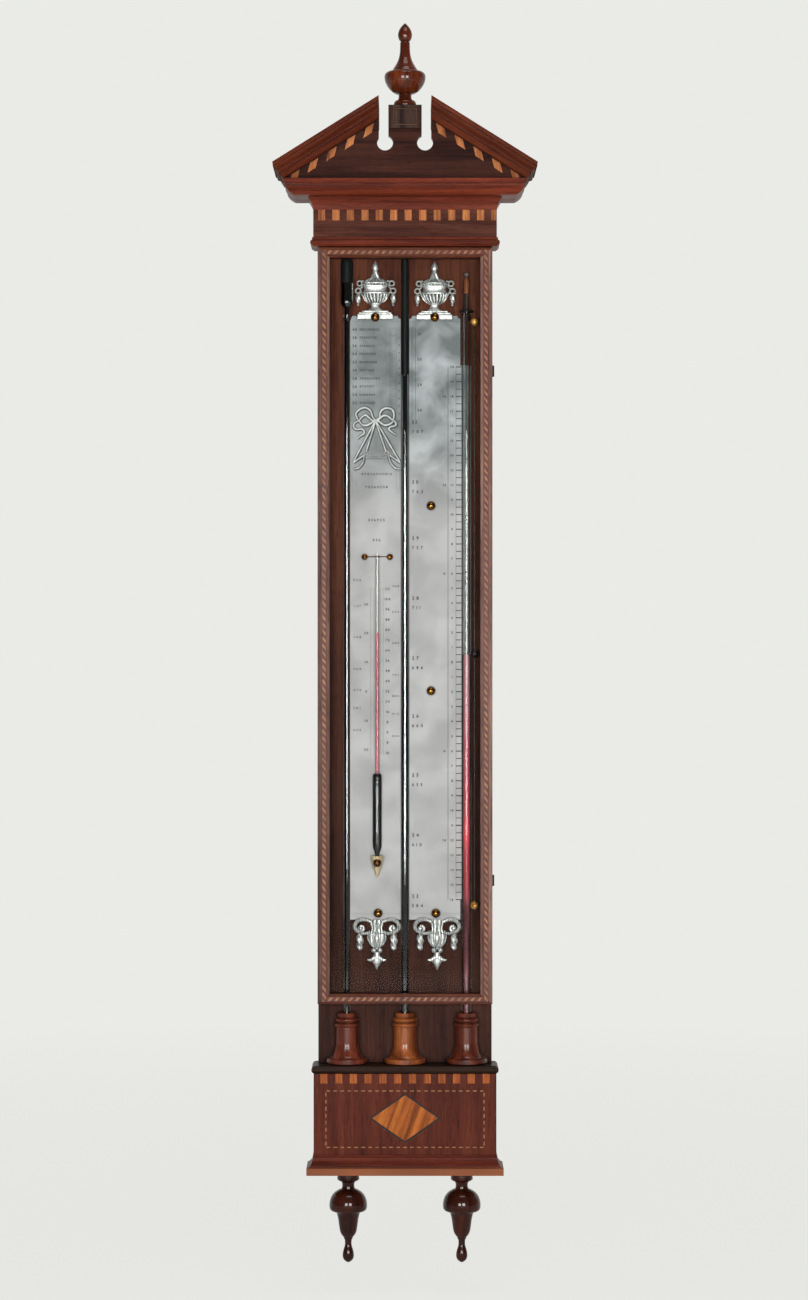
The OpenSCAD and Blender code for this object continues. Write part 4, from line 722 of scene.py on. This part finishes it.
# Plain turned parts of an urn, each a depth and a profile
URN_TURNED = [
    # Foot, stem and collar
    (3.0, [(9.4, 5.4), (7.4, 6.6), (5.4, 7.8), (4.4, 9.4), (4.2, 11.0), (4.8, 12.2)]),
    (3.6, [(5.2, 11.9), (6.2, 12.4), (6.2, 13.3), (5.4, 13.7)]),
    # Lip of the bowl, waist, and the two lines of the rim with the band of beads between them
    (5.6, [(13.6, 23.0), (14.7, 23.4), (14.7, 24.4), (13.8, 24.8)]),
    (4.2, [(12.8, 24.5), (11.6, 26.2), (11.3, 28.4), (12.2, 30.2), (13.2, 30.8)]),
    (5.0, [(13.4, 30.5), (14.2, 31.0), (14.2, 31.5), (13.4, 31.7)]),
    (3.8, [(13.0, 31.5), (13.2, 33.8)]),
    (4.8, [(13.4, 33.6), (14.2, 33.9), (14.2, 34.5), (13.4, 34.9)]),
    # Acorn
    (3.0, [(2.1, 46.8), (3.1, 47.8), (3.5, 49.4), (3.4, 51.2), (2.6, 53.2), (1.3, 55.2), (0.3, 56.9)]),
]


def urn(name, node, x, foot):
    """Urn of cast metal above a plate."""
    s = Shape()
    # Stepped base with a lip over the plate: half width, back, front, bottom, top, cut edge
    for half, back, front, low, high, cut in (
        (18.4, PLATE_D + 0.02, PLATE_D + 2.0, foot - 3.2, foot + 1.4, 0.5),
        (18.2, BOARD_D, 13.2, PLATE_TOP + 0.05, foot + 2.2, 0.6),
        (16.8, BOARD_D, 12.7, foot + 2.0, foot + 4.0, 0.6),
        (13.6, BOARD_D, 12.2, foot + 3.8, foot + 5.9, 0.6),
    ):
        s.block(x - half, x + half, back, front, low, high, cut)
    for depth, profile in URN_TURNED:
        s.turned(x, foot, profile, depth)
    # Gadrooned bowl, nearly a half ball
    s.turned(x, foot, [(r, h, 0.42 if i else 0.1, (h - 13) * 0.10) for i, (r, h) in enumerate(GADROONS)],
             5.2, flutes=11, n=110)
    # Beads of the rim
    for k in range(13):
        a = radians(10 + 160 / 12 * k)
        s.ball(x - 13.0 * cos(a), BOARD_D + 4.1 * sin(a), foot + 32.7, 1.08, 1.0, 1.08, n=10)
    # Fluted lid and twisted neck
    s.turned(x, foot, [
        (13.2, 34.6, 0.1), (12.4, 35.6, 0.3), (9.6, 37.3, 0.3), (6.8, 38.6, 0.25), (5.4, 39.2, 0.1),
    ], 4.4, flutes=8, n=64)
    s.turned(x, foot, [
        (5.2, 38.8, 0.3, 0.0), (4.6, 40.6, 0.35, 0.5), (3.8, 42.8, 0.35, 1.1), (3.1, 45.0, 0.35, 1.7),
        (2.5, 47.2, 0.3, 2.2),
    ], 3.2, flutes=3, n=42)
    for side, shift in ((-1, 0.0), (1, 0.9)):
        upper, lower = 16.0 + shift, 17.5 + shift
        # Two open rings on each side, joined by a bent arm
        s.tube(circle(x + side * upper, 11.9, foot + 33.7, 2.5, 18), 0.85, loop=True)
        s.tube(circle(x + side * lower, 11.9, foot + 26.1, 2.6, 18), 0.95, loop=True)
        s.tube(swept(x, foot, side, 11.8, [
            (12.0, 36.2), (upper - 2.0, 35.6), (upper - 2.6, 32.6), (upper - 2.4, 29.8), (lower - 1.6, 28.2),
        ], 5), 0.85)
        s.tube(swept(x, foot, side, 11.8, [(lower - 2.4, 25.2), (14.2, 23.4), (12.6, 20.4)], 4), 0.9)
        # Drop between two beads
        end = x + side * lower
        s.ball(end, 11.7, foot + 23.2, 1.3, 1.1, 1.0, n=10)
        s.drop(end, 11.9, foot + 23.0, foot + 12.2, 2.35, 1.5)
        s.ball(end, 11.7, foot + 11.7, 1.35, 1.2, 1.35, n=10)
    made = s.piece(name, casting)
    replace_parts(made, node)


def shell(name, node, x):
    """Scroll and bud ornament of cast metal below a plate."""
    s = Shape()
    top = PLATE_BOTTOM
    # Crown between the scrolls
    s.turned(x, top, [
        (8.6, -14.8, 0.2), (6.6, -12.2, 0.4), (5.6, -9.0, 0.45), (6.6, -5.4, 0.45), (7.4, -2.2, 0.35),
        (6.6, -0.1, 0.2),
    ], 3.4, flutes=4, n=64)
    # C scroll, its top edge lying over the rim of the plate
    scroll = curve_through([
        (5.6, -2.6), (9.6, -0.6), (14.6, 0.2), (19.4, -1.2), (22.3, -4.6), (22.4, -8.6), (19.8, -11.8),
        (16.2, -12.2), (13.8, -10.2), (13.9, -7.8), (15.6, -6.4), (17.4, -6.6),
    ], 5)
    steps = [12.75 if b > -3.0 else 12.0 for _, b in scroll]
    near = [steps[max(0, i - 3):i + 4] for i in range(len(steps))]
    depths = [sum(some) / len(some) for some in near]
    last = len(scroll) - 1
    for side in (-1, 1):
        path = [(x + side * a, d, top + b) for (a, b), d in zip(scroll, depths)]
        s.tube(path, [1.15 + 0.85 * sin(pi * min(1.0, 0.08 + i / last)) for i in range(last + 1)],
               sides=12, flat=0.72)
        # Groove ridge that follows the outer edge of the scroll
        s.tube([(a, d + 1.25, b) for a, d, b in path[6:38]], 0.55)
        s.ball(x + side * 17.2, 12.2, top - 8.9, 2.5, 1.8, 2.5, n=14)
        # Arm down to the bud
        arm = swept(x, top, side, 11.7, [(18.4, -12.6), (14.0, -14.0), (9.6, -13.8), (6.6, -12.2)], 4)
        s.tube(arm, [1.3 + 0.04 * i for i in range(len(arm))])
        s.ball(x + side * 17.4, 11.8, top - 14.2, 1.7, 1.4, 1.3, n=10)
        s.drop(x + side * 17.4, 12.1, top - 14.0, top - 32.0, 3.3, 2.2, point=0.05)
        s.ball(x + side * 3.3, 12.0, top - 31.4, 2.6, 2.0, 2.6, n=14)
        # Pointed side leaf that curls up a little
        leaf = swept(x, top, side, 11.7, [(0.8, -38.6), (3.6, -40.2), (6.6, -41.6), (9.8, -41.0)], 5)
        s.tube(leaf, [3.0 * (1 - i / (len(leaf) - 1)) ** 0.8 + 0.25 for i in range(len(leaf))],
               sides=12, flat=0.45)
        # Outer leaf of the bud
        outer = swept(x, top, side, 12.0, [
            (8.6, -14.6), (9.0, -18.2), (7.8, -22.4), (5.0, -26.4), (2.0, -28.6),
        ], 4)
        s.tube(outer, [0.5 + 0.6 * sin(pi * i / (len(outer) - 1)) for i in range(len(outer))])
    # Bud, with a pointed leaf in the middle
    s.turned(x, top, [
        (1.2, -29.4, 0.05), (4.2, -28.4, 0.12), (6.8, -26.4, 0.14), (8.6, -23.4, 0.14), (9.5, -19.8, 0.14),
        (9.8, -16.6, 0.12), (9.2, -14.4, 0.05),
    ], 4.4, flutes=6, n=96)
    s.turned(x, top, [
        (0.5, -28.6), (2.2, -26.2), (3.7, -22.4), (4.2, -18.8), (3.6, -15.2), (2.2, -12.0), (0.4, -8.8),
    ], 5.6, n=20)
    s.ball(x, 12.4, top - 29.4, 2.0, 1.5, 1.5)
    # Middle leaf down to its point
    s.turned(x, top, [
        (0.2, -51.6), (1.6, -49.2), (3.4, -46.0), (5.2, -43.2), (5.0, -40.4), (3.4, -37.4), (2.9, -35.0),
        (3.6, -33.2),
    ], 2.9, flutes=2, n=28)
    made = s.piece(name, leaf_casting)
    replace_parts(made, node)


urn("urn_left_casting", "urn_left", -30.6, -127.2)
urn("urn_right_casting", "urn_right", 30.3, -127.6)
shell("shell_left_casting", "shell_left", -28.9)
shell("shell_right_casting", "shell_right", 33.0)


# Liquids: each touches its glass, so the bore looks as wide as it does through real glass
TUBE_D = 17.0
WET = 0.03
LIMB_LEFT_X, LIMB_RIGHT_X, THERMO_X = -59.5, 63.1, -28.5
STRAIGHT_BORE, LIMB_BORE, BULB_BORE, CONTRA_BORE = 2.6, 1.5, 5.3, 2.3
BEND_R = 12.0
POOL_D, POOL_R = 22.3, 10.15
MERCURY_COLUMN = 760.0
UPPER_BULB_Z, LOWER_BULB_Z, LOWER_BULB_TOP_Z = -113.0, -879.2, -855.4


def steady(path):
    """The same path with a ring close to both ends of each long run, so that the run shades evenly."""
    out = [path[0]]
    for a, b in zip(path, path[1:]):
        run = hypot(b[0] - a[0], b[1] - a[1])
        if run > 4:
            for share in (0.25 / run, 1 - 0.25 / run):
                out.append(tuple(p + (q - p) * share for p, q in zip(a, b)))
        out.append(b)
    return out


def fill(s, path):
    """Adds liquid along (x, z, radius) points."""
    path = steady(path)
    s.tube([(x, TUBE_D, z) for x, z, r in path], [r + WET for x, z, r in path], sides=28)


def column(name, node, material, path):
    s = Shape()
    fill(s, path)
    made = s.piece(name, material, sharp=50)
    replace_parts(made, node)


def dome(x, z, r, rise=0.8, steps=5):
    """Rounded top of a column, from its crown down."""
    turns = [pi / 2 * i / steps for i in range(steps + 1)]
    return [(x, z - rise * (1 - cos(a)), max(r * sin(a), 0.2) - WET) for a in turns]


def cap(x, z, r, neck, side, steps=7):
    """Half ball that narrows from r to the neck; side is 1 upwards and -1 downwards."""
    turns = [acos(neck / r) * i / steps for i in range(steps + 1)]
    return [(x, z + side * r * sin(a), r * cos(a)) for a in turns]


def quarter(x, z, start, steps=8):
    """Quarter bend of the limb round (x, z), from the angle start in degrees."""
    turns = [radians(start + 90 * i / steps) for i in range(steps + 1)]
    return [(x + BEND_R * cos(a), z + BEND_R * sin(a), LIMB_BORE) for a in turns]


def node_span(name):
    """Lowest and highest z of a node, in millimetres."""
    low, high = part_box(name)
    return low[2] * 1000, high[2] * 1000


pool_bottom, meniscus = node_span("straight_mercury")
pool_top = meniscus - MERCURY_COLUMN
straight = Shape()
fill(straight, dome(0, meniscus, STRAIGHT_BORE) + [(0, pool_top + 0.1, STRAIGHT_BORE)])
straight.tube([(0, POOL_D, z) for z in (pool_top, pool_bottom)], POOL_R, sides=40)
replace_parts(straight.piece("straight_mercury_column", mercury, sharp=50), "straight_mercury")

run_bottom, upper_level = node_span("contra_mercury")
lower_level, spirit_top = node_span("contra_spirit")
bend_z = run_bottom + LIMB_BORE - 0.05 + BEND_R
column("contra_mercury_column", "contra_mercury", mercury,
       dome(LIMB_LEFT_X, upper_level, BULB_BORE)
       + cap(LIMB_LEFT_X, UPPER_BULB_Z, BULB_BORE, LIMB_BORE, -1)
       + quarter(LIMB_LEFT_X + BEND_R, bend_z, 180) + quarter(LIMB_RIGHT_X - BEND_R, bend_z, 270)
       + cap(LIMB_RIGHT_X, LOWER_BULB_Z, BULB_BORE, LIMB_BORE, -1)[::-1]
       + [(LIMB_RIGHT_X, lower_level - 0.02, BULB_BORE)])
column("contra_spirit_column", "contra_spirit", spirit,
       [(LIMB_RIGHT_X, lower_level, BULB_BORE)]
       + cap(LIMB_RIGHT_X, LOWER_BULB_TOP_Z, BULB_BORE, CONTRA_BORE, 1)
       + [(LIMB_RIGHT_X, spirit_top - 0.3, CONTRA_BORE), (LIMB_RIGHT_X, spirit_top, CONTRA_BORE - 0.6)])

thermo_bottom, thermo_top = node_span("thermometer_spirit")
# Height above the bottom of the bulb, radius
BULB_OUTLINE = [
    (0.0, 1.0), (0.3, 1.5), (4.0, 1.5), (6.0, 1.8), (8.2, 2.5), (10.0, 3.25), (12.2, 3.8), (15.0, 3.95),
    (45.0, 4.0), (75.0, 4.2), (79.0, 4.45), (82.0, 4.5), (85.0, 4.3), (86.6, 3.2), (87.2, 0.9),
]
column("thermometer_spirit_column", "thermometer_spirit", bulb_spirit,
       [(THERMO_X, thermo_bottom + h, r) for h, r in BULB_OUTLINE]
       + [(THERMO_X, thermo_top - 0.2, 0.9), (THERMO_X, thermo_top, 0.5)])


# raised bow and festoons on the left plate
# The enlarged part of the photograph that holds the bow: its corner in pixels, and how much larger it is
CROP_U, CROP_V, CROP_SCALE = 345, 400, 11.2
# Points in the enlarged part: loops of the bow, its loose ends, the strings and the festoons under it
LOOPS = [
    [(340, 225), (310, 190), (290, 130), (260, 100), (215, 85), (165, 105), (125, 145), (130, 190),
     (155, 235)],
    [(340, 225), (310, 230), (265, 195), (228, 168), (180, 200), (160, 235)],
    [(160, 240), (200, 280), (250, 280), (320, 240), (340, 225)],
    [(345, 215), (385, 200), (395, 140), (430, 100), (480, 90), (530, 110), (545, 150), (545, 200),
     (530, 230)],
    [(345, 225), (370, 225), (420, 180), (465, 175), (510, 205), (530, 230)],
    [(345, 228), (380, 240), (440, 280), (500, 270), (540, 240)],
]
LOOSE_ENDS = [
    [(155, 235), (110, 255), (95, 300), (130, 330), (185, 325), (215, 350), (210, 380), (175, 400),
     (140, 430)],
    [(545, 230), (570, 260), (560, 290), (510, 300), (490, 330), (520, 355), (570, 390)],
]
STRINGS = [
    [(335, 240), (215, 465), (95, 690)], [(340, 240), (290, 405), (240, 570)],
    [(350, 240), (480, 465), (615, 695)], [(345, 240), (400, 405), (460, 580)],
    [(95, 700), (150, 660), (210, 620)], [(615, 700), (560, 660), (500, 620)],
]
FESTOONS = [
    [(215, 620), (200, 700), (150, 760), (100, 770)], [(485, 620), (510, 700), (560, 760), (610, 770)],
]
KNOT = (340, 225)
BAR_LEFT, BAR_RIGHT, BAR_Y = 236, 470, 640
bow = Shape()
bow_painted_shadow = Shape()


def crop(x, y):
    """Millimetres (x, z) of a point of the enlarged bow."""
    return photo(CROP_U + x / CROP_SCALE, CROP_V + y / CROP_SCALE)


def dark_edge(path, radii):
    """Painted shadow under a ridge: a thin dark bed, a little wider and towards its lower right."""
    under = [(a + 0.32, PLATE_D + 0.03, b - 0.28) for a, b in path]
    bow_painted_shadow.tube(under, [r + 0.85 for r in radii], flat=0.04)


def ridge(points, r, taper=False, steps=5):
    path = curve_through([crop(*p) for p in points], steps)
    last = len(path) - 1
    radii = [r * (0.45 + 0.55 * sin(pi * (0.08 + 0.84 * i / last))) if taper else r
             for i in range(len(path))]
    bow.tube([(a, PLATE_D + 0.12, b) for a, b in path], radii, flat=0.7)
    dark_edge(path, radii)


for strand in LOOPS:
    ridge(strand, 1.05, True)
for strand in LOOSE_ENDS:
    ridge(strand, 0.95, True)
for strand in STRINGS:
    ridge(strand, 0.78, steps=3)
knot_x, knot_z = crop(*KNOT)
bow.ball(knot_x, PLATE_D + 0.2, knot_z, 1.5, 0.8, 1.2)
# Bar of beads between two lines, with a ring above each end
for ring_x in (235, 465):
    a, b = crop(ring_x, 593)
    bow.tube(circle(a, PLATE_D + 0.1, b, 2.0, 16), 0.4, loop=True)
for k in range(14):
    a, b = crop(238 + k * 17.6, BAR_Y)
    bow.ball(a, PLATE_D + 0.1, b, 0.8, 0.65, 0.8, n=8)
for y in (BAR_Y - 12, BAR_Y + 12):
    bow.tube([(a, PLATE_D + 0.05, b) for a, b in (crop(BAR_LEFT, y), crop(BAR_RIGHT, y))], 0.25, sides=6)
# Painted shadow under the bar of beads
a, b = crop(BAR_LEFT, BAR_Y)
bow_painted_shadow.block(a, crop(BAR_RIGHT, BAR_Y)[0], PLATE_D - 0.02, PLATE_D + 0.02, b - 1.9, b + 1.5)
for festoon in FESTOONS:
    beads = curve_through([crop(*p) for p in festoon], 5)
    dark_edge(beads, [0.75] * len(beads))
    for i, (a, b) in enumerate(beads):
        swell = 0.62 + 0.45 * sin(pi * i / (len(beads) - 1))
        bow.ball(a, PLATE_D + 0.1, b, swell, 0.6, swell, n=8)
# Garlands of ever smaller beads down both sides
for garland in (95, 595):
    for k in range(16):
        a, b = crop(garland, 790 + 28 * k)
        size = 0.62 - 0.022 * k
        bow.ball(a, PLATE_D + 0.05, b, size, 0.42, size * 1.15, n=8)
bow.piece("bow_relief", relief)
bow_painted_shadow.piece("bow_painted_shadow", bow_shade)

# Thin light line that frames the face of the block under the finial
BLOCK_D = -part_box("pedestal_block")[0][1] * 1000
FRAME_DEPTH = (BLOCK_D - 0.2, BLOCK_D + 0.12)
FRAME_X, FRAME_LOW, FRAME_HIGH, FRAME_HALF = 11.6, 60.4, 76.2, 0.3
end_x = FRAME_X + FRAME_HALF
line_frame = Shape()
for z in (FRAME_LOW, FRAME_HIGH):
    line_frame.block(-end_x, end_x, *FRAME_DEPTH, z - FRAME_HALF, z + FRAME_HALF, 0.1)
for x in (-FRAME_X, FRAME_X):
    line_frame.block(x - FRAME_HALF, x + FRAME_HALF, *FRAME_DEPTH, FRAME_LOW + 0.35, FRAME_HIGH - 0.35, 0.1)
line_wood = wood("line_wood", (92, 60, 45), "x", seed=8.1, figure=0.1)
line_frame.piece("block_line", line_wood, sharp=30)


# Turned pendants: (depth below the base, radius)
PENDANT = [
    (0.0, 11.0), (4.5, 11.2), (6.7, 11.4), (8.1, 10.0), (9.0, 7.4), (11.3, 6.2), (14.0, 6.2), (16.3, 6.8),
    (17.2, 9.2), (18.1, 10.8), (19.3, 12.8), (20.4, 14.2), (22.7, 16.2), (25.0, 17.6), (28.4, 18.8),
    (31.8, 19.3), (34.7, 19.3), (36.8, 18.9), (38.2, 18.0), (39.1, 16.6), (39.8, 13.4), (40.9, 12.1),
    (43.2, 11.3), (47.7, 10.3), (54.6, 9.4), (59.1, 8.7), (61.8, 7.8), (63.7, 6.7), (65.5, 5.2),
    (66.8, 4.4), (67.8, 4.3), (68.7, 3.5),
    (72.8, 3.3), (75.5, 3.8), (78.5, 4.8), (81.9, 5.6), (85.3, 5.8), (87.8, 5.2), (89.6, 4.0), (91.2, 2.0),
    (91.8, 0.5),
]
PENDANT_X, PENDANT_D = 58.0, 26.0
base_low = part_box("base_moulding")[0][2] * 1000
turned = Shape()
for side in (-1, 1):
    turned.tube([(side * PENDANT_X, PENDANT_D, base_low - depth) for depth, _ in PENDANT],
                [r for _, r in PENDANT], sides=56)
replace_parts(turned.piece("pendants_turned", pendant_wood), "pendants")


# engraving, in pixels of the photograph
def glyph(text):
    """Closed mesh of one numeral of size one, from x = 0, and its width."""
    data = bpy.data.curves.new("numeral", "FONT")
    data.body = text
    data.size = 1.0
    data.extrude = 0.01
    data.resolution_u = 3
    data.offset = 0.024
    made = add_object("numeral", data)
    graph = bpy.context.evaluated_depsgraph_get()
    mesh = bpy.data.meshes.new_from_object(made.evaluated_get(graph))
    bm = bmesh.new()
    bm.from_mesh(mesh)
    bmesh.ops.remove_doubles(bm, verts=bm.verts, dist=1e-5)
    xs = [v.co.x for v in bm.verts]
    points = [(v.co.x - min(xs), v.co.y, v.co.z) for v in bm.verts]
    faces = [[v.index for v in f.verts] for f in bm.faces]
    bm.free()
    bpy.data.objects.remove(made)
    bpy.data.curves.remove(data)
    bpy.data.meshes.remove(mesh)
    return points, faces, max(xs) - min(xs)


GLYPHS = {c: glyph(c) for c in "0123456789"}
GLYPH_HEIGHT = 0.70
marks = Shape()


def number(text, u, v, h, gap=0.18, left=False):
    """Engraved number whose middle, or left end, lies at the point; h is its height in millimetres."""
    x, z = photo(u, v)
    size = h / GLYPH_HEIGHT
    step = gap * h * 2
    at = x if left else x - (sum(GLYPHS[c][2] * size for c in text) + step * (len(text) - 1)) / 2
    for points, faces, width in (GLYPHS[c] for c in text):
        marks.add([(at + px * size, PLATE_D + (0.04 if pz > 0 else 0.02), z - h / 2 + py * size)
                   for px, py, pz in points], faces)
        at += width * size + step


def line(u0, v0, u1, v1, w=0.26):
    """Engraved line, upright or level; w is its width in millimetres."""
    (x0, z1), (x1, z0) = photo(min(u0, u1), min(v0, v1)), photo(max(u0, u1), max(v0, v1))
    if x1 - x0 < z1 - z0:
        x0, x1 = x0 - w / 2, x1 + w / 2
    else:
        z0, z1 = z0 - w / 2, z1 + w / 2
    marks.block(x0, x1, PLATE_D - 0.02, PLATE_D + 0.03, z0, z1)


# Scale of the contra-barometer: one step above and below its zero, and how many there are
UP, DOWN, ZERO_V = 14.75, 14.85, 662.0
STEPS_UP, STEPS_DOWN = 20, 16
for u, w in ((448, 0.4), (456, 0.26), (461.6, 0.26)):
    line(u, ZERO_V - STEPS_UP * UP, u, ZERO_V + STEPS_DOWN * DOWN, w)
for half in range(-2 * STEPS_DOWN, 2 * STEPS_UP + 1):
    v = ZERO_V - half / 2 * (UP if half > 0 else DOWN)
    line(455.8, v, 461.4, v, 0.75 if half % 2 else 0.95)
    if half % 2 == 0:
        step = abs(half) // 2
        number(str(step), 452, v, 2.3 if step else 2.7)
        if step and step % 6 == 0:
            number(str(step * 2 + 4), 444.3, v, 2.0)
# Small scale at the head of the right plate
HEAD_V = 328
for u in (412, 415.4):
    line(u, HEAD_V, u, 424)
for k in range(49):
    v = HEAD_V + 2 * k
    line(412, v, 413.6 if k % 4 else 415.4, v, 0.12)
for k in range(4):
    number(str(31 - k), 419.5, 334 + 25.4 * k, 2.6)
# Plain numbers beside the steps of the scale: inches, and below them millimetres
for k, v in enumerate((425, 485, 541, 601, 661, 719, 778, 838, 899)):
    number(str(31 - k), 412, v - 3.0, 3.4, 0.32, left=True)
    number(str(round((31 - k) * 25.4)), 412, v + 6.6, 3.0, 0.42, left=True)
# Level rules at the head and foot of both plates
for v, w in ((913.2, 0.16), (915.0, 0.10), (321.6, 0.14)):
    line(411, v, 460, v, w)
    line(352, v, 401.5, v, w)

# Table at the head of the left plate
for k in range(10):
    v = 329.5 + 8.15 * k
    number(str(40 - 2 * k), 354.6, v, 2.6)
    row = "".join(str((7 * k + 3 * j * j + 5 * j) % 10) for j in range(9 - k % 3))
    number(row, 359.5, v, 2.3, 0.16, left=True)
for u in (390.0, 396.4):
    line(u, HEAD_V, u, 425, 0.14)
for k in range(65):
    v = HEAD_V + 1.515 * k
    line(390.0, v, 392.4 if k % 5 else 396.4, v, 0.10)
for k in range(13):
    number(str(k + 1), 399.0, 330 + 7.6 * k, 1.7)
# Plain numbers below the bow
for v, u0, u1 in ((474, 357, 396), (487, 362, 391), (520, 366, 387), (540, 370, 383)):
    count = int((u1 - u0) / 3.4)
    number("".join(str((v + 3 * k) % 10) for k in range(count)), (u0 + u1) / 2, v, 2.4, 0.3)

# Thermometer scales: the top of both, and eight degrees of the right one
THERMO_V, EIGHT = 588.8, 10.25
for u in (370.5, 374.2, 380.2, 383.2):
    line(u, 588, u, 755, 0.14)
for k in range(83):
    v = THERMO_V + EIGHT * k / 5
    line(380.2, v, 381.8 if k % 5 else 383.2, v, 0.12)
for k in range(58):
    v = THERMO_V + 2.907 * k
    line(372.4 if k % 10 else 370.5, v, 374.2, v, 0.12)
for i in range(17):
    number(str(abs(112 - 8 * i)), 387.5, THERMO_V + EIGHT * i, 2.4)
for text, v in (("30", 604.3), ("20", 633.0), ("10", 662.0), ("0", 691.5), ("10", 720.7), ("20", 749.6)):
    number(text, 366.2, v, 2.4)
for k, v in enumerate((580, 606, 637, 669, 690, 708, 730)):
    for j in range(3):
        number(str((k + 3 * j) % 10), 354.2 + 3.0 * j, v, 2.2)
        number(str((k + 2 * j + 4) % 10), 393.0 + 2.6 * j, v + 6, 2.0)
marks.piece("engraving", engraved, smooth=False)


# floor, backdrop light and lamps
@as_material
def floor_finish(t):
    """Soft floor that fades into the background; only what lies behind the object glows in its metal."""
    base = put(t, "TexCoord")["Object"]
    length = put(t, "VectorMath", {0: base}, operation="LENGTH")["Value"]
    rays = put(t, "LightPath")
    behind = remap(t, put(t, "SeparateXYZ", {0: base})[1], 0.0, 0.4)
    mirrored = plus(t, rays["Is Glossy Ray"], rays["Is Transmission Ray"])
    shown = plus(t, rays["Is Camera Ray"], times(t, mirrored, behind), True)
    soft = put(t, "BsdfDiffuse", {"Color": BACKGROUND})[0]
    glow = put(t, "Emission", {"Color": BACKGROUND, "Strength": 1.0})[0]
    return mix_shader(t, times(t, remap(t, length, 1.2, 2.6, 0.90, 1.0), shown), soft, glow)


def floor():
    mesh = bpy.data.meshes.new("floor")
    z, half = -1.13, 14.0
    corners = [(-half, -half, z), (half, -half, z), (half, half, z), (-half, half, z)]
    mesh.from_pydata(corners, [], [[0, 1, 2, 3]])
    made = add_object("floor", mesh)
    mesh.materials.append(floor_finish("floor"))


floor()

world = bpy.data.worlds.new("studio")
scene.world = world
world.use_nodes = True
wt = world.node_tree
wt.nodes.clear()
way = put(wt, "SeparateXYZ", {0: put(wt, "TexCoord")["Generated"]})
room = ramp(wt, remap(wt, way[1], -1.0, 1.0), [
    (0.0, grey(0.05)), (0.25, grey(0.06)), (0.42, grey(0.09)), (0.62, grey(0.18)), (1.0, grey(1.0)),
])
room = shaded(wt, room, remap(wt, way[2], -0.6, 0.9, 0.75, 1.25))
around_it = put(wt, "Background", {"Color": room, "Strength": 1.0})[0]
plain = put(wt, "Background", {"Color": BACKGROUND, "Strength": 1.0})[0]
rays = put(wt, "LightPath")
# Metal and glass show the pale background where it lies, behind the object
mirrored = plus(wt, rays["Is Glossy Ray"], rays["Is Transmission Ray"])
seen = plus(wt, rays["Is Camera Ray"], times(wt, mirrored, remap(wt, way[1], 0.3, 0.7)), True)
put(wt, "OutputWorld", {"Surface": mix_shader(wt, seen, around_it, plain)})


def lamp(name, place, aim, size, power, colour=(1, 1, 1)):
    data = bpy.data.lights.new(name, "AREA")
    data.shape = "RECTANGLE"
    data.size, data.size_y = size
    data.energy = power
    data.color = colour
    made = add_object(name, data)
    made.location = place
    made.rotation_euler = (Vector(aim) - Vector(place)).to_track_quat("-Z", "Y").to_euler()
    made.visible_camera = False


CENTRE = (0, 0, -0.47)
SIDE_X, SIDE_Y, SIDE_SIZE = 0.68, -3.1, (0.8, 0.76)
lamp("left", (-SIDE_X, SIDE_Y, CENTRE[2]), CENTRE, SIDE_SIZE, 47)
lamp("right", (SIDE_X, SIDE_Y, CENTRE[2]), CENTRE, SIDE_SIZE, 51, (1.0, 0.98, 0.96))
lamp("top", (0.2, -0.9, 1.6), (0, 0, -0.2), (1.2, 0.8), 14)
